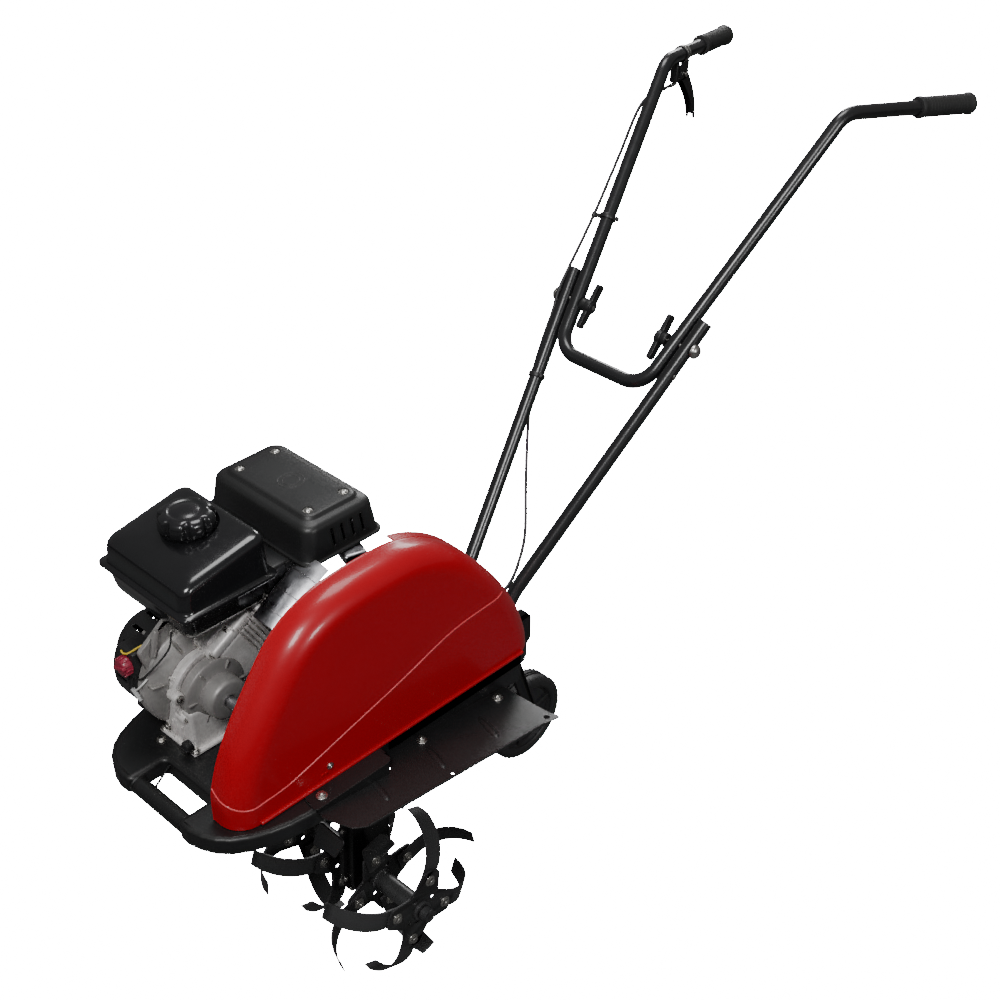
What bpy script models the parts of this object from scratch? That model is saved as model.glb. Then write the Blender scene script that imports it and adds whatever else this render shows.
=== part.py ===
"""Small garden tiller: petrol engine, belt cover, chain case, two tine sets and a folding handlebar.

Frame: +Z up, the machine drives towards -Y and its left side is +X. The layout is drawn in
millimetres from the middle of the carrying bar at the front, and the whole assembly is moved
at the end so that the origin is the middle of its bounding box, on the ground.
"""
import math

import bmesh
import bpy
from mathutils import Matrix, Vector

# ---- driving dimensions (millimetres) ----
U = 0.001                      # metres in one millimetre
GAP = 0.35                     # clearance between neighbouring pieces

TUBE_R = 12.7                  # handle tube radius
DECK_TOP = 20.0                # top of the deck plate
DECK_T = 3.0                   # deck sheet
DECK_RIM = 29.0                # depth of the folded rim
BAR_R = 14.5                   # carrying bar at the front
CRANK_Y, CRANK_Z = 150.0, 115.0
INPUT_Y, INPUT_Z = 420.0, 160.0      # chain case input shaft
TINE_Y, TINE_Z = 386.0, -420.0       # tine shaft
TINE_TIP_R = 165.0             # reach of a tine from the tine shaft
BLADE_W, BLADE_T = 31.0, 4.0
BOLT_R = 60.0                  # radius of the tine bolts
HUB_IN_X, HUB_OUT_X = 42.0, 145.0
LEFT_ANGLES = (14.0, 68.0)     # first bolt of the inner and outer hub plate, left side
RIGHT_ANGLES = (72.0, -4.0)
COVER_IN_X, COVER_OUT_X = 98.0, 156.0
DEEP_WALL_X, DEEP_WALL_Y = 74.5, 400.0   # the cover's wall reaches further in behind this y
COVER_BASE = DECK_TOP + 1.5
PLATE_X0, PLATE_X1 = 98.6, 101.6      # belt backplate
SPROCKET_IN_R, SPROCKET_OUT_R = 16.5, 33.0   # eight and sixteen teeth
PULLEY_X0, PULLEY_X1 = 116.0, 136.0
ENGINE_PULLEY_R, DRIVEN_PULLEY_R = 32.0, 105.0
BELT_T, BELT_W = 8.0, 12.0
IDLER_R = 20.0
IDLER_PIVOT = (345.0, 292.0)
WHEEL_Y, WHEEL_Z = 790.0, -315.0
LOWER_X = 55.0                 # the lower handle tubes where they meet the chassis
LUG_X = LOWER_X + TUBE_R + GAP
BRACKET_PIVOT = (705.0, -55.0)
FOLD_Y, FOLD_Z = 1045.0, 429.5
FOLD_X_UPPER, FOLD_X_LOWER = 112.5, 140.0
SPLAY = 0.25                   # sideways spread of the handle tubes per unit of Y
TANK_X, TANK_Y = -130.0, 186.0
BLOWER_X = -118.0              # joint between crankcase and blower housing
SWITCH = (-134.0, 62.0, 164.0)

RED = (0.46, 0.012, 0.016)
BLACK = (0.012, 0.012, 0.013)
SATIN = (0.025, 0.025, 0.027)
GREY = (0.42, 0.41, 0.39)
STEEL = (0.55, 0.55, 0.54)


# ---- scene ----
for leftover in list(bpy.data.objects):
    bpy.data.objects.remove(leftover, do_unlink=True)

parts = bpy.data.collections.new("garden_tiller")
bpy.context.scene.collection.children.link(parts)


def material(name, colour, roughness, metallic):
    mat = bpy.data.materials.new(name)
    mat.use_nodes = True
    shader = mat.node_tree.nodes["Principled BSDF"]
    shader.inputs["Base Color"].default_value = (*colour, 1.0)
    shader.inputs["Roughness"].default_value = roughness
    shader.inputs["Metallic"].default_value = metallic
    return mat


# ---- modelling helpers; every length is in millimetres ----
def add(name, mesh):
    obj = bpy.data.objects.new(name, mesh)
    parts.objects.link(obj)
    return obj


def bake(obj):
    """Replace the object's modifiers, or its curve, by the mesh they make."""
    bpy.context.view_layer.update()
    graph = bpy.context.evaluated_depsgraph_get()
    mesh = bpy.data.meshes.new_from_object(obj.evaluated_get(graph))
    if obj.type == "CURVE":
        bm = bmesh.new()
        bm.from_mesh(mesh)
        bmesh.ops.remove_doubles(bm, verts=bm.verts, dist=0.01)
        bmesh.ops.recalc_face_normals(bm, faces=bm.faces)
        bm.to_mesh(mesh)
        bm.free()
        fresh = add(obj.name + "_mesh", mesh)
        fresh.matrix_world = obj.matrix_world
        name = obj.name
        bpy.data.objects.remove(obj, do_unlink=True)
        fresh.name = name
        return fresh
    obj.modifiers.clear()
    obj.data = mesh
    return obj


def combine(obj, others, operation):
    for other in others:
        step = obj.modifiers.new(operation.lower(), "BOOLEAN")
        step.operation = operation
        step.solver = "EXACT"
        step.object = other
        bake(obj)
        bpy.data.objects.remove(other, do_unlink=True)
    return obj


def join(obj, *others):
    return combine(obj, others, "UNION")


def cut(obj, *others):
    return combine(obj, others, "DIFFERENCE")


def place(obj, matrix):
    obj.data.transform(matrix)
    if matrix.determinant() < 0:
        obj.data.flip_normals()
    return obj


def box(name, low, high, bevel=0.0, segments=2):
    bm = bmesh.new()
    bmesh.ops.create_cube(bm, size=1.0)
    size = [high[i] - low[i] for i in range(3)]
    middle = [(high[i] + low[i]) / 2 for i in range(3)]
    bmesh.ops.scale(bm, vec=size, verts=bm.verts)
    bmesh.ops.translate(bm, vec=middle, verts=bm.verts)
    mesh = bpy.data.meshes.new(name)
    bm.to_mesh(mesh)
    bm.free()
    obj = add(name, mesh)
    if bevel:
        edge = obj.modifiers.new("edge", "BEVEL")
        edge.width = bevel
        edge.segments = segments
        bake(obj)
    return obj


def rod(name, start, end, radius, end_radius=None, sides=24):
    """A cylinder or cone between two points."""
    start = Vector(start)
    end = Vector(end)
    bm = bmesh.new()
    bmesh.ops.create_cone(bm, cap_ends=True, segments=sides, radius1=radius,
                          radius2=radius if end_radius is None else end_radius,
                          depth=(end - start).length)
    turn = (end - start).to_track_quat("Z", "Y").to_matrix().to_4x4()
    bmesh.ops.transform(bm, matrix=Matrix.Translation((start + end) / 2) @ turn, verts=bm.verts)
    mesh = bpy.data.meshes.new(name)
    bm.to_mesh(mesh)
    bm.free()
    return add(name, mesh)


def turned(name, profile, at, towards, steps=32):
    """A turned piece. The profile lists (radius, height) down the outer side."""
    mesh = bpy.data.meshes.new(name)
    bm = bmesh.new()
    verts = [bm.verts.new((radius, 0.0, height)) for radius, height in profile]
    for a, b in zip(verts, verts[1:]):
        bm.edges.new((a, b))
    if profile[0][0] > 0 or profile[-1][0] > 0:
        bm.edges.new((verts[-1], verts[0]))
    bm.to_mesh(mesh)
    bm.free()
    obj = add(name, mesh)
    screw = obj.modifiers.new("turn", "SCREW")
    screw.axis = "Z"
    screw.steps = steps
    screw.render_steps = steps
    screw.use_merge_vertices = True
    screw.merge_threshold = 0.001
    bake(obj)
    turn = Vector(towards).to_track_quat("Z", "Y").to_matrix().to_4x4()
    place(obj, Matrix.Translation(Vector(at)) @ turn)
    bm = bmesh.new()
    bm.from_mesh(obj.data)
    bmesh.ops.remove_doubles(bm, verts=bm.verts, dist=0.001)
    bmesh.ops.recalc_face_normals(bm, faces=bm.faces)
    bm.to_mesh(obj.data)
    bm.free()
    return obj


def sheet(name, outlines, thickness, matrix):
    """A flat plate from 2D outlines, the first one outside, centred on its plane."""
    curve = bpy.data.curves.new(name, "CURVE")
    curve.dimensions = "2D"
    curve.fill_mode = "BOTH"
    curve.extrude = thickness / 2
    for outline in outlines:
        spline = curve.splines.new("POLY")
        spline.points.add(len(outline) - 1)
        for point, (a, b) in zip(spline.points, outline):
            point.co = (a, b, 0.0, 1.0)
        spline.use_cyclic_u = True
    obj = bake(add(name, curve))
    return place(obj, matrix)


def tube(name, points, radius, resolution=2):
    """A round bar or hose along a path."""
    curve = bpy.data.curves.new(name, "CURVE")
    curve.dimensions = "3D"
    curve.bevel_depth = radius
    curve.bevel_resolution = resolution
    curve.use_fill_caps = True
    spline = curve.splines.new("POLY")
    spline.points.add(len(points) - 1)
    for point, co in zip(spline.points, points):
        point.co = (*co, 1.0)
    return bake(add(name, curve))


def rounded(points, radius, steps=5):
    """Replace the inner corners of a path by arcs."""
    points = [Vector(p) for p in points]
    path = [points[0]]
    for before, corner, after in zip(points, points[1:], points[2:]):
        back = (before - corner).normalized()
        on = (after - corner).normalized()
        half = back.angle(on) / 2
        reach = min(radius / math.tan(half), (before - corner).length * 0.48,
                    (after - corner).length * 0.48)
        bend = reach * math.tan(half)
        centre = corner + (back + on).normalized() * (bend / math.sin(half))
        first = (corner + back * reach - centre).normalized()
        last = (corner + on * reach - centre).normalized()
        for i in range(steps + 1):
            path.append(centre + first.slerp(last, i / steps).normalized() * bend)
    path.append(points[-1])
    return path


def smooth(points, steps=4, closed=False):
    """A Catmull-Rom curve through the points."""
    points = [Vector(p) for p in points]
    count = len(points)
    path = []
    for i in range(count if closed else count - 1):
        a = points[(i - 1) % count] if closed or i else points[0] * 2 - points[1]
        b = points[i]
        c = points[(i + 1) % count]
        d = points[(i + 2) % count] if closed or i < count - 2 else c * 2 - b
        for k in range(steps):
            t = k / steps
            path.append(0.5 * (2 * b + (c - a) * t + (2 * a - 5 * b + 4 * c - d) * t * t
                               + (3 * b - a - 3 * c + d) * t ** 3))
    if not closed:
        path.append(points[-1])
    return path


def grown(outline, distance):
    """Offset a closed counter-clockwise outline outwards, or inwards if negative."""
    count = len(outline)
    result = []
    for i in range(count):
        before = Vector(outline[i - 1])
        here = Vector(outline[i])
        after = Vector(outline[(i + 1) % count])
        n1 = Vector(((here - before).y, -(here - before).x)).normalized()
        n2 = Vector(((after - here).y, -(after - here).x)).normalized()
        middle = (n1 + n2).normalized()
        result.append(tuple(here + middle * distance / max(middle.dot(n1), 0.5)))
    return result


def arc(centre, radius, first, last, steps):
    return [(centre[0] + radius * math.cos(math.radians(first + (last - first) * i / steps)),
             centre[1] + radius * math.sin(math.radians(first + (last - first) * i / steps)))
            for i in range(steps + 1)]


def hull_of_circles(c1, r1, c2, r2, steps=10):
    """The outline round two circles, counter-clockwise, starting on the first one."""
    dx, dy = c2[0] - c1[0], c2[1] - c1[1]
    heading = math.degrees(math.atan2(dy, dx))
    spread = math.degrees(math.acos((r1 - r2) / math.hypot(dx, dy)))
    return (arc(c1, r1, heading + spread, heading + 360 - spread, steps)
            + arc(c2, r2, heading - spread, heading + spread, steps))


def loft(name, rings, close=True):
    """A skin through rings with the same number of points, capped at both ends."""
    bm = bmesh.new()
    rows = [[bm.verts.new(p) for p in ring] for ring in rings]
    count = len(rows[0])
    for lower, upper in zip(rows, rows[1:]):
        for i in range(count):
            j = (i + 1) % count
            bm.faces.new((lower[i], lower[j], upper[j], upper[i]))
    if close:
        bm.faces.new(rows[0])
    bm.faces.new(rows[-1])
    bmesh.ops.recalc_face_normals(bm, faces=bm.faces)
    mesh = bpy.data.meshes.new(name)
    bm.to_mesh(mesh)
    bm.free()
    return add(name, mesh)


def rounded_box_ring(cx, cy, hx, hy, corner, z, steps=3):
    ring = []
    for sx, sy, start in ((1, 1, 0), (-1, 1, 90), (-1, -1, 180), (1, -1, 270)):
        middle = (cx + sx * (hx - corner), cy + sy * (hy - corner))
        ring += [(x, y, z) for x, y in arc(middle, corner, start, start + 90, steps)]
    return ring


def thickened(path, thickness):
    """The outline of a strip bent along a path in its own plane."""
    left, right = [], []
    for i, here in enumerate(path):
        before = Vector(path[max(i - 1, 0)])
        after = Vector(path[min(i + 1, len(path) - 1)])
        run = (after - before).normalized()
        side = Vector((-run.y, run.x)) * thickness / 2
        left.append(tuple(Vector(here) + side))
        right.append(tuple(Vector(here) - side))
    return right + left[::-1]


ON_SIDE = Matrix(((0, 0, 1, 0), (1, 0, 0, 0), (0, 1, 0, 0), (0, 0, 0, 1)))   # (y, z) drawn at x
MIRROR = Matrix.Scale(-1, 4, (1, 0, 0))


def side_sheet(name, outlines, x0, x1):
    """A plate drawn in the (y, z) plane between two x values."""
    return sheet(name, outlines, x1 - x0, Matrix.Translation(((x0 + x1) / 2, 0, 0)) @ ON_SIDE)


def copy(obj, name, matrix):
    twin = add(name, obj.data.copy())
    return place(twin, matrix)


def circle(y, z, radius, steps=24):
    return arc((y, z), radius, 0, 360 - 360 / steps, steps - 1)


finished = []


def finish(obj, mat, pivot=(0.0, 0.0, 0.0), sharp=35.0):
    """Give the piece its material and put its origin on its joint's axis."""
    bm = bmesh.new()
    bm.from_mesh(obj.data)
    bmesh.ops.remove_doubles(bm, verts=bm.verts, dist=0.002)
    bmesh.ops.dissolve_degenerate(bm, edges=bm.edges, dist=0.002)
    bmesh.ops.triangulate(bm, faces=[f for f in bm.faces if len(f.verts) > 4])
    bm.to_mesh(obj.data)
    bm.free()
    obj.data.transform(Matrix.Scale(U, 4) @ Matrix.Translation(-Vector(pivot)))
    obj.location = Vector(pivot) * U
    obj.data.materials.clear()
    obj.data.materials.append(mat)
    obj.data.shade_smooth()
    obj.data.set_sharp_from_angle(angle=math.radians(sharp))
    finished.append(obj)
    return obj


red_paint = material("red_paint", RED, 0.25, 0.0)
black_paint = material("black_paint", BLACK, 0.4, 0.0)
satin_plastic = material("satin_plastic", SATIN, 0.5, 0.0)
gloss_black = material("gloss_black", BLACK, 0.12, 0.0)
cast_metal = material("cast_metal", GREY, 0.5, 0.9)
bright_steel = material("bright_steel", STEEL, 0.3, 1.0)
rubber = material("rubber", (0.015, 0.015, 0.015), 0.75, 0.0)
knob_red = material("knob_red", (0.30, 0.02, 0.06), 0.4, 0.0)


# ---- chassis: deck with folded rim, carrying bar and rear lugs, welded together ----
half = [(60, 60), (60, -4), (68, -10), (86, -11), (110, -5), (132, 6), (150, 22), (164, 43), (177, 73),
        (186, 105), (191, 140), (192, 180), (192, 283), (184, 298), (152, 314), (150, 330), (150, 640),
        (138, 660)]
outline = half + [(-x, y) for x, y in reversed(half)]
inner = grown(outline, -0.5)
deck = sheet("chassis_deck", [outline], DECK_T, Matrix.Translation((0, 0, DECK_TOP - DECK_T / 2)))
rim_top = DECK_TOP - DECK_T / 2
rim = sheet("rim", [grown(outline, -0.5), grown(outline, -3.5)], DECK_RIM - DECK_T / 2,
            Matrix.Translation((0, 0, rim_top - (DECK_RIM - DECK_T / 2) / 2)))
bar = rod("bar", (-116, 6, 0.5), (116, 6, 0.5), BAR_R, sides=20)
join(deck, rim, bar)
slot = box("slot", (-28, 335, 0), (28, 480, 40))
cut(deck, slot)
lug_outline = [(560, 18.5), (560, -30), (628, -78), (722, -78), (740, -58), (740, -10), (716, 18), (655, 18)]
lugs = []
for x0, x1 in ((LUG_X, LUG_X + 3.5), (-LUG_X - 3.5, -LUG_X)):
    lug = side_sheet("lug", [lug_outline[::-1]], x0, x1)
    lugs.append(lug)
web = box("web", (-LUG_X - 2, 640, -58), (LUG_X + 2, 643.5, 18.6))
skirts = []
for side in (1, -1):
    skirt = side_sheet("skirt", [[(318, 17), (318, -14), (628, -46), (628, 17)]], 146.8, 149.3)
    if side < 0:
        place(skirt, MIRROR)
    skirts.append(skirt)
join(deck, lugs[0], lugs[1], web, *skirts)
cut(deck, rod("pivot_hole", (-90, *BRACKET_PIVOT), (90, *BRACKET_PIVOT), 6.0 + GAP, sides=16))
for side in (1, -1):
    cut(deck, rod("tube_notch", (side * LOWER_X, 645, FOLD_Z - 1.142 * 400), (side * LOWER_X, 745, FOLD_Z - 1.142 * 300),
                  TUBE_R + 2.5, sides=20))
finish(deck, black_paint)


# ---- fenders over the tines ----
def fender_height(y):
    return 14.0 - 0.115 * (y - 150.0)


fender_outline = [(193.5, 152), (206, 150), (252, 168), (264, 188), (264, 600), (150.8, 576), (150.8, 332), (153, 318),
                  (186, 302), (193.5, 288)]
fender = sheet("fender_left", [fender_outline], 2.2, Matrix())
flap = box("flap", (200, 128, 5), (252, 130.2, 34))
place(flap, Matrix.Translation((0, 152, 4)) @ Matrix.Rotation(math.radians(-38), 4, "X")
      @ Matrix.Translation((0, -129, -19)))
for vert in fender.data.vertices:
    vert.co.z += fender_height(vert.co.y)
join(fender, flap)
fender_twin = copy(fender, "fender_right", MIRROR)
finish(fender, black_paint)
finish(fender_twin, black_paint)


# ---- belt housing ----
cover_curve = [(30, COVER_BASE), (33, 80), (60, 152), (111, 232), (166, 297), (235, 331), (320, 341), (415, 334),
               (500, 289), (578, 205), (630, 125), (655, 60), (660, COVER_BASE)]
cover_outline = [(p.x, p.y) for p in smooth([(y, z, 0) for y, z in cover_curve], 3)][::-1]


def inset_ring(x, inset):
    """The cover's outline drawn in by an amount, with the flat bottom left where it is."""
    ring = []
    for (y, z), (_, height) in zip(grown(cover_outline, -inset), cover_outline):
        low = height <= COVER_BASE + 0.01
        ring.append((x, y, COVER_BASE if low else max(z, COVER_BASE + 1.0 + 0.1 * height)))
    return ring


cover = loft("belt_cover", [inset_ring(COVER_IN_X, 0.0), inset_ring(116.0, 0.4), inset_ring(132.0, 4.0),
                            inset_ring(144.0, 10.5), inset_ring(152.0, 20.0), inset_ring(COVER_OUT_X, 34.0)],
             close=False)
wall = cover.modifiers.new("wall", "SOLIDIFY")
wall.thickness = 2.6
wall.offset = -1.0
bake(cover)
bead = box("bead", (150, 75, COVER_BASE), (161, 625, COVER_BASE + 4.5), 1.5, 1)
deep = side_sheet("deep_wall", [grown(cover_outline, 0.6), grown(cover_outline, -2.0)], DEEP_WALL_X, COVER_IN_X + 2.0)
cut(deep, box("front", (50, 0, -20), (120, DEEP_WALL_Y, 400)), box("foot", (50, 0, -20), (120, 700, COVER_BASE + 4.0)))
join(cover, bead, deep)
finish(cover, red_paint)

plate_outline = [(y, max(z, COVER_BASE + 3.0)) for y, z in grown(cover_outline, -3.4)]
plate = side_sheet("belt_backplate", [plate_outline, circle(CRANK_Y, CRANK_Z, 16.0),
                                      circle(INPUT_Y, INPUT_Z, 14.0)], PLATE_X0, PLATE_X1)
post = rod("post", (PLATE_X0 + 1, *IDLER_PIVOT), (124, *IDLER_PIVOT), 5.0, sides=16)
anchor = rod("anchor", (PLATE_X0 + 1, 205, 262), (128, 205, 262), 3.0, sides=12)
join(plate, post, anchor)
finish(plate, black_paint)


# ---- chain case: two pressed halves round the chain ----
case_outline = hull_of_circles((INPUT_Y, INPUT_Z), 46.0, (TINE_Y, TINE_Z), 42.0, 10)
case = side_sheet("chain_case_left", [grown(case_outline, 8.0)], GAP / 2, 2.6)
case_body = side_sheet("case_body", [case_outline], 1.0, 18.5)
join(case, case_body)
case_hollow = side_sheet("case_hollow", [grown(case_outline, -2.6)], -5.0, 16.0)
cut(case, case_hollow)
case_other = copy(case, "chain_case_right", MIRROR)
cut(case, rod("hole", (5, INPUT_Y, INPUT_Z), (30, INPUT_Y, INPUT_Z), 10.0 + GAP, sides=20),
    rod("hole", (5, TINE_Y, TINE_Z), (30, TINE_Y, TINE_Z), 12.5 + GAP, sides=20))
cut(case_other, rod("hole", (-5, TINE_Y, TINE_Z), (-30, TINE_Y, TINE_Z), 12.5 + GAP, sides=20))
finish(case, black_paint)
finish(case_other, black_paint)


# ---- belt drive ----
crank = turned("crankshaft", [(0, 142), (8.0, 142), (9.5, 140.5), (9.5, -28), (0, -28)],
               (0, CRANK_Y, CRANK_Z), (1, 0, 0), 20)
finish(crank, bright_steel, (0, CRANK_Y, CRANK_Z))


def pulley(name, radius, bore, y, z, web_radius):
    width = PULLEY_X1 - PULLEY_X0
    hub = bore + 7.0
    profile = [(bore, width), (hub, width), (hub, width * 0.6), (web_radius, width * 0.6),
               (web_radius, width - 2), (radius, width - 2), (radius - 9, width / 2), (radius, 2),
               (web_radius, 2), (web_radius, width * 0.4), (hub, width * 0.4), (hub, 0), (bore, 0)]
    if web_radius <= hub:
        profile = [(bore, width), (radius - 2, width), (radius, width - 2), (radius - 9, width / 2),
                   (radius, 2), (radius - 2, 0), (bore, 0)]
    return turned(name, profile, (PULLEY_X0, y, z), (1, 0, 0), 24)


small = pulley("engine_pulley", ENGINE_PULLEY_R, 9.5 + GAP, CRANK_Y, CRANK_Z, 0)
finish(small, cast_metal, (0, CRANK_Y, CRANK_Z))

large = pulley("driven_pulley", DRIVEN_PULLEY_R, 9.0, INPUT_Y, INPUT_Z, 88.0)
shaft = turned("shaft", [(0, 140), (8, 140), (10, 138), (10, 20.5), (10, 11), (SPROCKET_IN_R, 11),
                         (SPROCKET_IN_R, 4), (10, 4), (10, 0), (0, 0)], (0, INPUT_Y, INPUT_Z), (1, 0, 0), 24)
join(large, shaft)
finish(large, cast_metal, (0, INPUT_Y, INPUT_Z))

belt_x = (PULLEY_X0 + PULLEY_X1) / 2
belt_outer = hull_of_circles((CRANK_Y, CRANK_Z), ENGINE_PULLEY_R + BELT_T + 0.5, (INPUT_Y, INPUT_Z),
                             DRIVEN_PULLEY_R + BELT_T + 0.5, 20)
belt_inner = grown(belt_outer, -BELT_T)
belt = side_sheet("drive_belt", [belt_outer, belt_inner], belt_x - BELT_W / 2, belt_x + BELT_W / 2)
finish(belt, rubber)

run_y = (CRANK_Y + INPUT_Y) / 2 + 2
slope = math.asin((DRIVEN_PULLEY_R - ENGINE_PULLEY_R) / math.hypot(INPUT_Y - CRANK_Y, INPUT_Z - CRANK_Z))
lean = slope + math.atan2(INPUT_Z - CRANK_Z, INPUT_Y - CRANK_Y)
top_point = Vector((CRANK_Y - math.sin(lean) * (ENGINE_PULLEY_R + BELT_T),
                    CRANK_Z + math.cos(lean) * (ENGINE_PULLEY_R + BELT_T)))
along = Vector((math.cos(lean), math.sin(lean)))
away = Vector((-math.sin(lean), math.cos(lean)))
idler_at = top_point + along * 128.0 + away * (IDLER_R + 13.0)
IDLER_Y, IDLER_Z = idler_at

arm_outline = hull_of_circles(IDLER_PIVOT, 11.0, (IDLER_Y, IDLER_Z), 9.0, 8)
arm = side_sheet("idler_arm", [arm_outline], 104.0, 108.0)
sleeve = rod("sleeve", (102.6, *IDLER_PIVOT), (121.0, *IDLER_PIVOT), 9.5, sides=20)
pin = rod("pin", (106.0, IDLER_Y, IDLER_Z), (138.0, IDLER_Y, IDLER_Z), 4.0, sides=16)
tab_at = Vector(IDLER_PIVOT) + (Vector((IDLER_Y, IDLER_Z)) - Vector(IDLER_PIVOT)) * 0.55
tab = rod("tab", (106.0, *tab_at), (122.0, *tab_at), 2.5, sides=12)
join(arm, sleeve, pin, tab)
cut(arm, rod("bore", (98.0, *IDLER_PIVOT), (129.0, *IDLER_PIVOT), 5.0 + GAP, sides=16))
finish(arm, bright_steel, (0, *IDLER_PIVOT))

idler = turned("idler_pulley", [(4 + GAP, 17), (8, 17), (8, 15), (IDLER_R, 15), (IDLER_R, 13), (IDLER_R - 3, 12.5),
                                (IDLER_R - 3, 2.5), (IDLER_R, 2), (IDLER_R, 0), (4 + GAP, 0)],
               (118.5, IDLER_Y, IDLER_Z), (1, 0, 0), 24)
finish(idler, satin_plastic, (0, IDLER_Y, IDLER_Z))

spring_from = Vector((117.0, 205.0, 262.0))
spring_to = Vector((117.0, tab_at.x, tab_at.y))
pull = (spring_to - spring_from).normalized()
start = spring_from + pull * 5.0
length = (spring_to - spring_from).length - 9.5
side = pull.orthogonal().normalized()
over = pull.cross(side)
turns, per_turn = 6, 8
coil = [start + pull * (length * i / (turns * per_turn))
        + side * (4.6 * math.cos(2 * math.pi * i / per_turn)) + over * (4.6 * math.sin(2 * math.pi * i / per_turn))
        for i in range(turns * per_turn + 1)]
spring = tube("idler_spring", coil, 0.95, 1)
finish(spring, bright_steel)


# ---- tine shaft, hubs and tines ----
shaft = turned("tine_shaft", [(0, 172), (11.0, 172), (12.5, 170.5), (12.5, 4), (SPROCKET_OUT_R, 4),
                              (SPROCKET_OUT_R, -4), (12.5, -4),
                              (12.5, -170.5), (11.0, -172), (0, -172)], (0, TINE_Y, TINE_Z), (1, 0, 0), 24)
finish(shaft, bright_steel, (0, TINE_Y, TINE_Z))


def hub_plate(name, x0, first_angle):
    corners = []
    for k in range(4):
        middle = math.radians(first_angle + 90 * k)
        for offset in (-15, 0, 15):
            reach = 80.0 if offset == 0 else 79.0
            a = middle + math.radians(offset)
            corners.append((TINE_Y + reach * math.cos(a), TINE_Z + reach * math.sin(a)))
        a = middle + math.radians(45)
        corners.append((TINE_Y + 50.0 * math.cos(a), TINE_Z + 50.0 * math.sin(a)))
    return side_sheet(name, [corners], x0, x0 + 4.0)


def hub(name, angles):
    sleeve = turned(name, [(12.5 + GAP, 154), (18.5, 154), (18.5, 24), (12.5 + GAP, 24)],
                    (0, TINE_Y, TINE_Z), (1, 0, 0), 24)
    inner = hub_plate("inner", HUB_IN_X, angles[0])
    outer = hub_plate("outer", HUB_OUT_X, angles[1])
    for flange in (inner, outer):
        cut(flange, rod("eye", (20, TINE_Y, TINE_Z), (170, TINE_Y, TINE_Z), 15.5, sides=24))
    return join(sleeve, inner, outer)


left_hub = hub("tine_hub_left", LEFT_ANGLES)
right_hub = place(hub("tine_hub_right", RIGHT_ANGLES), MIRROR)
finish(left_hub, black_paint, (0, TINE_Y, TINE_Z))
finish(right_hub, black_paint, (0, TINE_Y, TINE_Z))

blade_path = [(p.x, p.y) for p in smooth([(42, 0, 0), (72, 0, 0), (98, 1, 0), (122, 10, 0), (143, 27, 0),
                                          (157, 50, 0), (163, 74, 0)], 2)]
blade_outline = thickened(blade_path, BLADE_T)


def tine(name, angle, x, outwards, side_matrix):
    """One bent tine: (radius, sideways) drawn flat, then stood on its bolt's angle."""
    lift = Matrix.Scale(1 if outwards else -1, 4, (0, 1, 0))
    stand = Matrix(((0, 1, 0, 0), (1, 0, 0, 0), (0, 0, 1, 0), (0, 0, 0, 1)))
    swing = Matrix.Rotation(math.radians(angle), 4, "X")
    obj = sheet(name, [blade_outline], BLADE_W, Matrix())
    place(obj, Matrix.Translation((x, TINE_Y, TINE_Z)) @ swing @ stand @ lift)
    place(obj, side_matrix)
    finish(obj, black_paint, (0, TINE_Y, TINE_Z))


for side_name, angles, side_matrix in (("left", LEFT_ANGLES, Matrix()), ("right", RIGHT_ANGLES, MIRROR)):
    for k in range(4):
        tine(f"tine_{side_name}_inner_{k + 1}", angles[0] + 90 * k, HUB_IN_X + 4.0 + BLADE_T / 2 + GAP, True,
             side_matrix)
        tine(f"tine_{side_name}_outer_{k + 1}", angles[1] + 90 * k, HUB_OUT_X - BLADE_T / 2 - GAP, False,
             side_matrix)


# ---- transport wheel and its bracket ----
def fork_outline():
    return hull_of_circles(BRACKET_PIVOT, 14.0, (WHEEL_Y, WHEEL_Z), 12.0, 8)


bracket = side_sheet("wheel_bracket", [fork_outline()], 35.0, 38.0)
other = side_sheet("other", [fork_outline()], -38.0, -35.0)
bridge = box("bridge", (-36.5, 722, -150), (36.5, 726, -96))
place(bridge, Matrix.Translation((0, 724, -123)) @ Matrix.Rotation(math.radians(18), 4, "X")
      @ Matrix.Translation((0, -724, 123)))
axle = rod("axle", (-43, WHEEL_Y, WHEEL_Z), (43, WHEEL_Y, WHEEL_Z), 5.0, sides=16)
pivot = rod("pivot", (-LUG_X - 9, *BRACKET_PIVOT), (LUG_X + 9, *BRACKET_PIVOT), 6.0, sides=16)
spacer = rod("spacer", (-LUG_X + GAP, *BRACKET_PIVOT), (LUG_X - GAP, *BRACKET_PIVOT), 10.0, sides=20)
join(bracket, other, bridge, axle, spacer, pivot)
finish(bracket, black_paint, (0, *BRACKET_PIVOT))

wheel = turned("wheel", [(68, 20), (80, 22.5), (86, 20), (88, 14), (88, -14), (86, -20), (80, -22.5), (68, -20)],
               (0, WHEEL_Y, WHEEL_Z), (1, 0, 0), 28)
wheel_hub = turned("wheel_hub", [(5 + GAP, 28), (14, 28), (17, 22), (17, -22), (14, -28), (5 + GAP, -28)],
                   (0, WHEEL_Y, WHEEL_Z), (1, 0, 0), 24)
spokes = []
for k in range(6):
    spoke = box("spoke", (-6, 15, -6), (6, 70, 6))
    place(spoke, Matrix.Translation((0, WHEEL_Y, WHEEL_Z)) @ Matrix.Rotation(math.radians(60 * k + 15), 4, "X"))
    spokes.append(spoke)
join(wheel, *spokes)
join(wheel, wheel_hub)
finish(wheel, satin_plastic, (0, WHEEL_Y, WHEEL_Z))


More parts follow.
